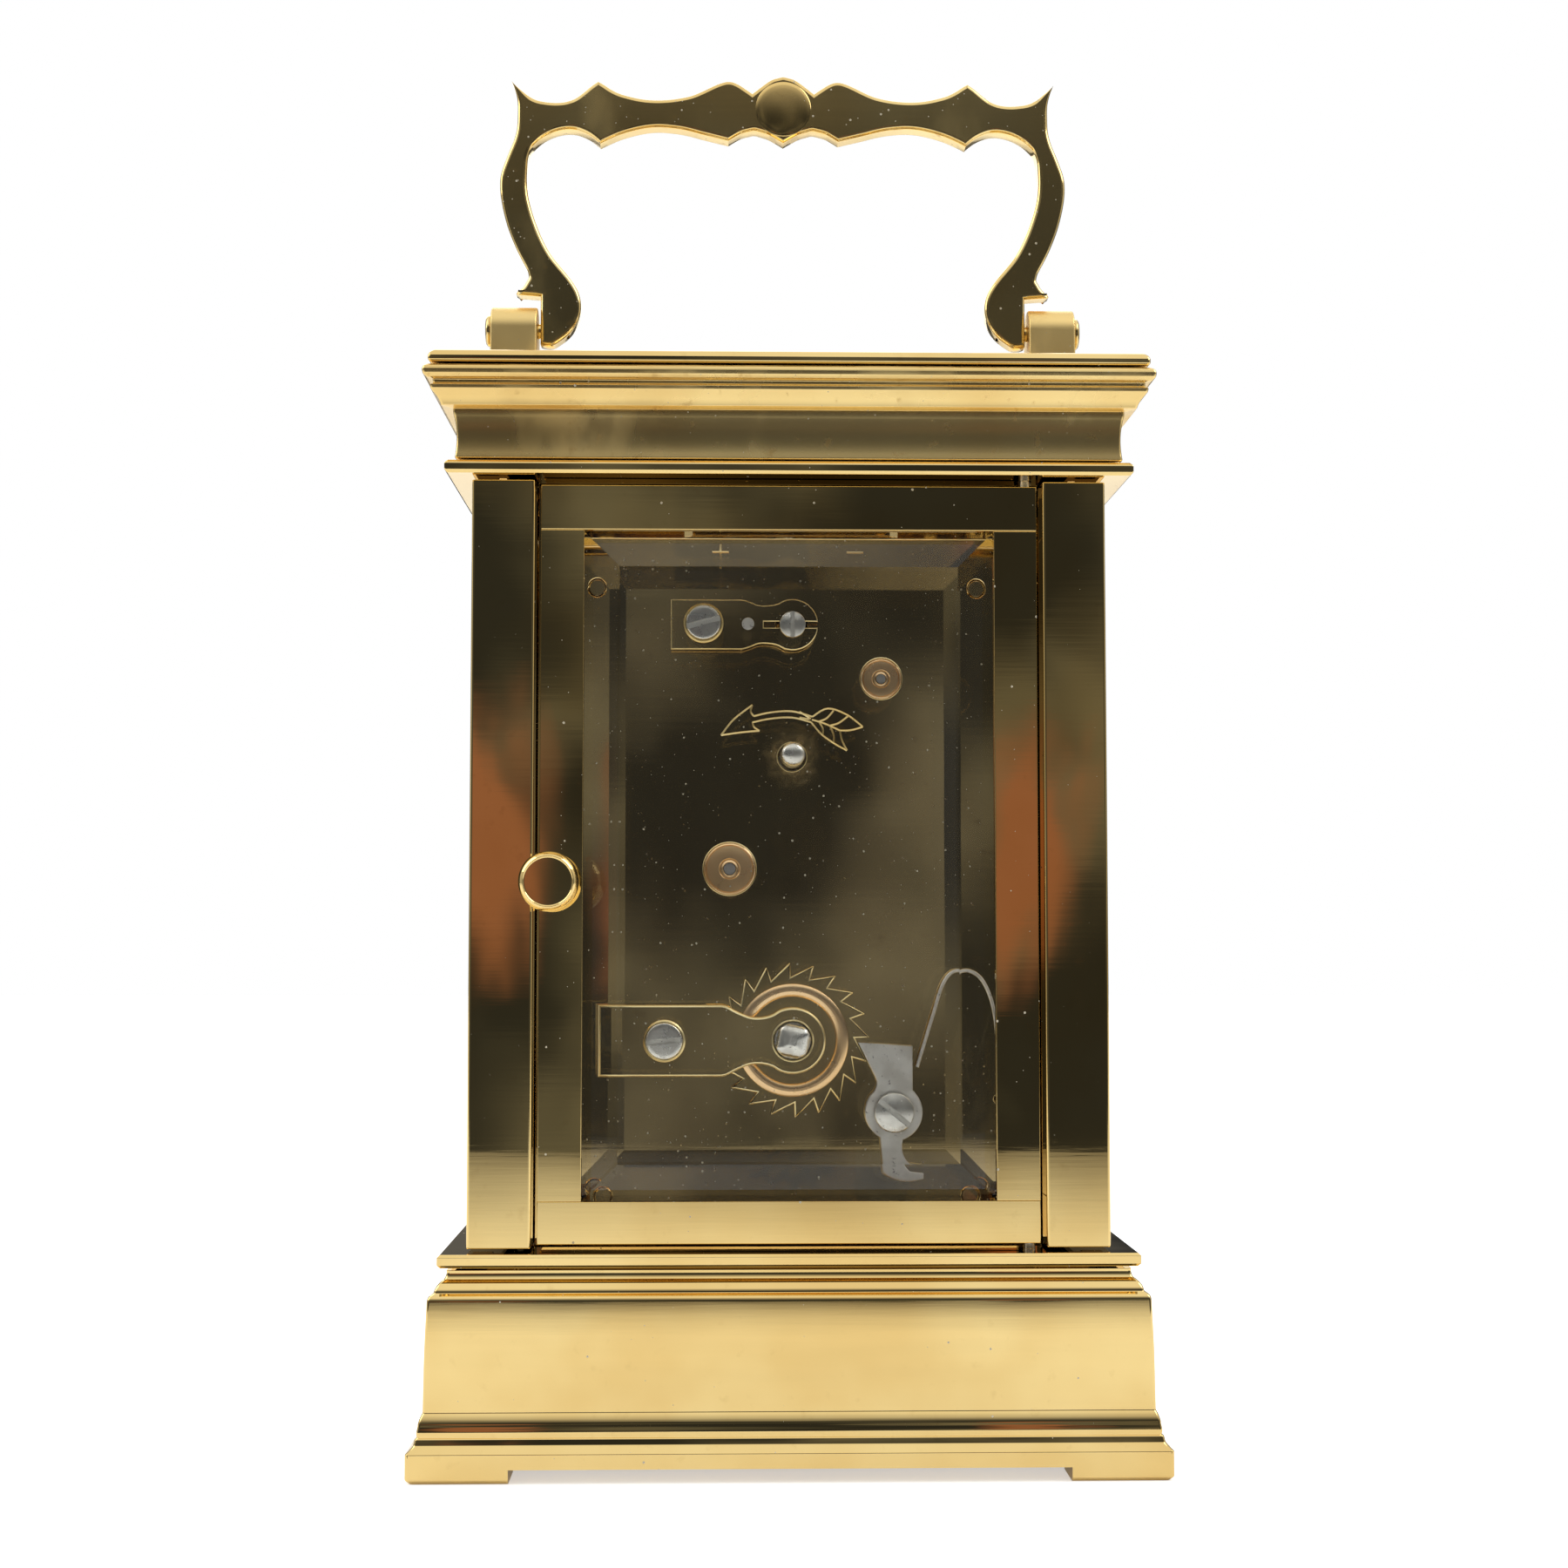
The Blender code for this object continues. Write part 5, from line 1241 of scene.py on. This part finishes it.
def platform():
    fine("platform_plate", "plate_brass", "Z", edge=0.14)
    smoothed("balance_cock", "plate_brass", bevel=0.1)
    for node in ("escape_wheel", "pallet_lever"):
        smoothed(node, "steel")
    smoothed("balance_wheel", "wheel_brass", steel_r=1.25, axis="Z")
    smoothed("hairspring", "blued_steel")
    fine("regulator_index", "steel", "Z", edge=0.05)
    x, y = PIVOT["balance"].x, PIVOT["balance"].y
    low, high = span("balance_wheel")
    rim = (high.x - low.x) / 2
    for k in range(SCREWS):
        angle = radians(360 / SCREWS * (k + 0.5))
        way = Vector((cos(angle), sin(angle), 0))
        path = [(x + way.x * r, y + way.y * r, SCREW_Z) for r in (rim - 0.25, rim - 0.02)]
        make(f"balance_screw_{k:02d}", wire(path, 0.36, 20), "bush_brass", "balance")
    top = span("balance_cock")[1].z
    jewel_ring = [(0.42, top - 0.3), (0.95, top - 0.3), (0.95, top + 0.02), (0.8, top + 0.07),
                  (0.42, top - 0.08)]
    make("balance_jewel", turned(jewel_ring, (x, y), "Z", 40, True), "jewel", "case")


# ---------------------------------------------------------------- dial
NUMERALS = "XII I II III IIII V VI VII VIII IX X XI".split()
TRACK = (19.7, 21.2)           # radii of the minute track
FIGURES = (14.4, 18.7)         # radii of the foot and head of a numeral
PRINT = 0.03                   # how far the paint stands off the enamel
THICK, THIN, SERIF = 0.62, 0.2, 0.16   # widths of the strokes
LETTERS = {"I": 1.25, "V": 2.5, "X": 2.5}     # widths
HOUR_TICK, MINUTE_TICK = 0.42, 0.16    # widths of the marks on the track
BACKING_GAP = 0.2
BACKING_HOLE = 4.0             # radius


def stroke(start, end, width):
    """A quadrilateral round a straight line."""
    a, b = Vector(start), Vector(end)
    side = Vector((a.y - b.y, b.x - a.x)).normalized() * width / 2
    return [tuple(p) for p in (a - side, b - side, b + side, a + side)]


def numeral(text, height):
    """The strokes of a Roman numeral, centred, its foot at 0."""
    total = sum(LETTERS[letter] for letter in text)
    left = -total / 2
    quads = []
    for letter in text:
        width = LETTERS[letter]
        middle = left + width / 2
        reach = width / 2 - 0.35
        if letter == "I":
            quads.append(stroke((middle, 0), (middle, height), THICK))
        else:
            foot = reach if letter == "X" else 0
            quads.append(stroke((middle - reach, height), (middle + foot, 0), THICK))
            quads.append(stroke((middle + reach, height), (middle - foot, 0), THIN))
        left += width
    ends = total / 2 - 0.1
    quads += [stroke((-ends, level), (ends, level), SERIF) for level in (0, height)]
    return quads


def dial():
    fine("dial", "white_enamel", edge=0.25)
    x, z = at("minute_work")
    face, back = (corner.y for corner in span("dial"))
    half, floor, ceiling = opening(BACKING_GAP)
    mask = slab([rectangle(-half, floor, half, ceiling), circle((x, z), BACKING_HOLE)],
                back + 0.08, back + 0.45, "Y", 0.08)
    make("dial_backing_plate", mask, "plate_brass", "case")
    height = FIGURES[1] - FIGURES[0]
    quads = []
    for hour, text in enumerate(NUMERALS):
        for quad in numeral(text, height):
            quads.append([spun((x, z), a, b + FIGURES[0], -radians(30 * hour)) for a, b in quad])
    for minute in range(60):
        width = HOUR_TICK if minute % 5 == 0 else MINUTE_TICK
        tick = stroke((0, TRACK[0] + 0.1), (0, TRACK[1] - 0.1), width)
        quads.append([spun((x, z), a, b, -radians(6 * minute)) for a, b in tick])
    flat = [slab([quad], face - PRINT, face + 0.02, "Y", 0) for quad in quads]
    for radius in TRACK:
        section = [(radius - 0.09, face - PRINT), (radius + 0.09, face - PRINT),
                   (radius + 0.09, face + 0.02), (radius - 0.09, face + 0.02)]
        flat.append(turned(section, (x, z), "Y", 120, True))
    make("dial_figures", joined(*flat), "dial_paint", "case")
    for node in ("hour_hand", "minute_hand"):
        smoothed(node, "blued_steel", bevel=0.06)


camera()
studio()
case()
door_stop()
door()
handle()
back_plate()
cocks()
winding()
train()
platform()
dial()
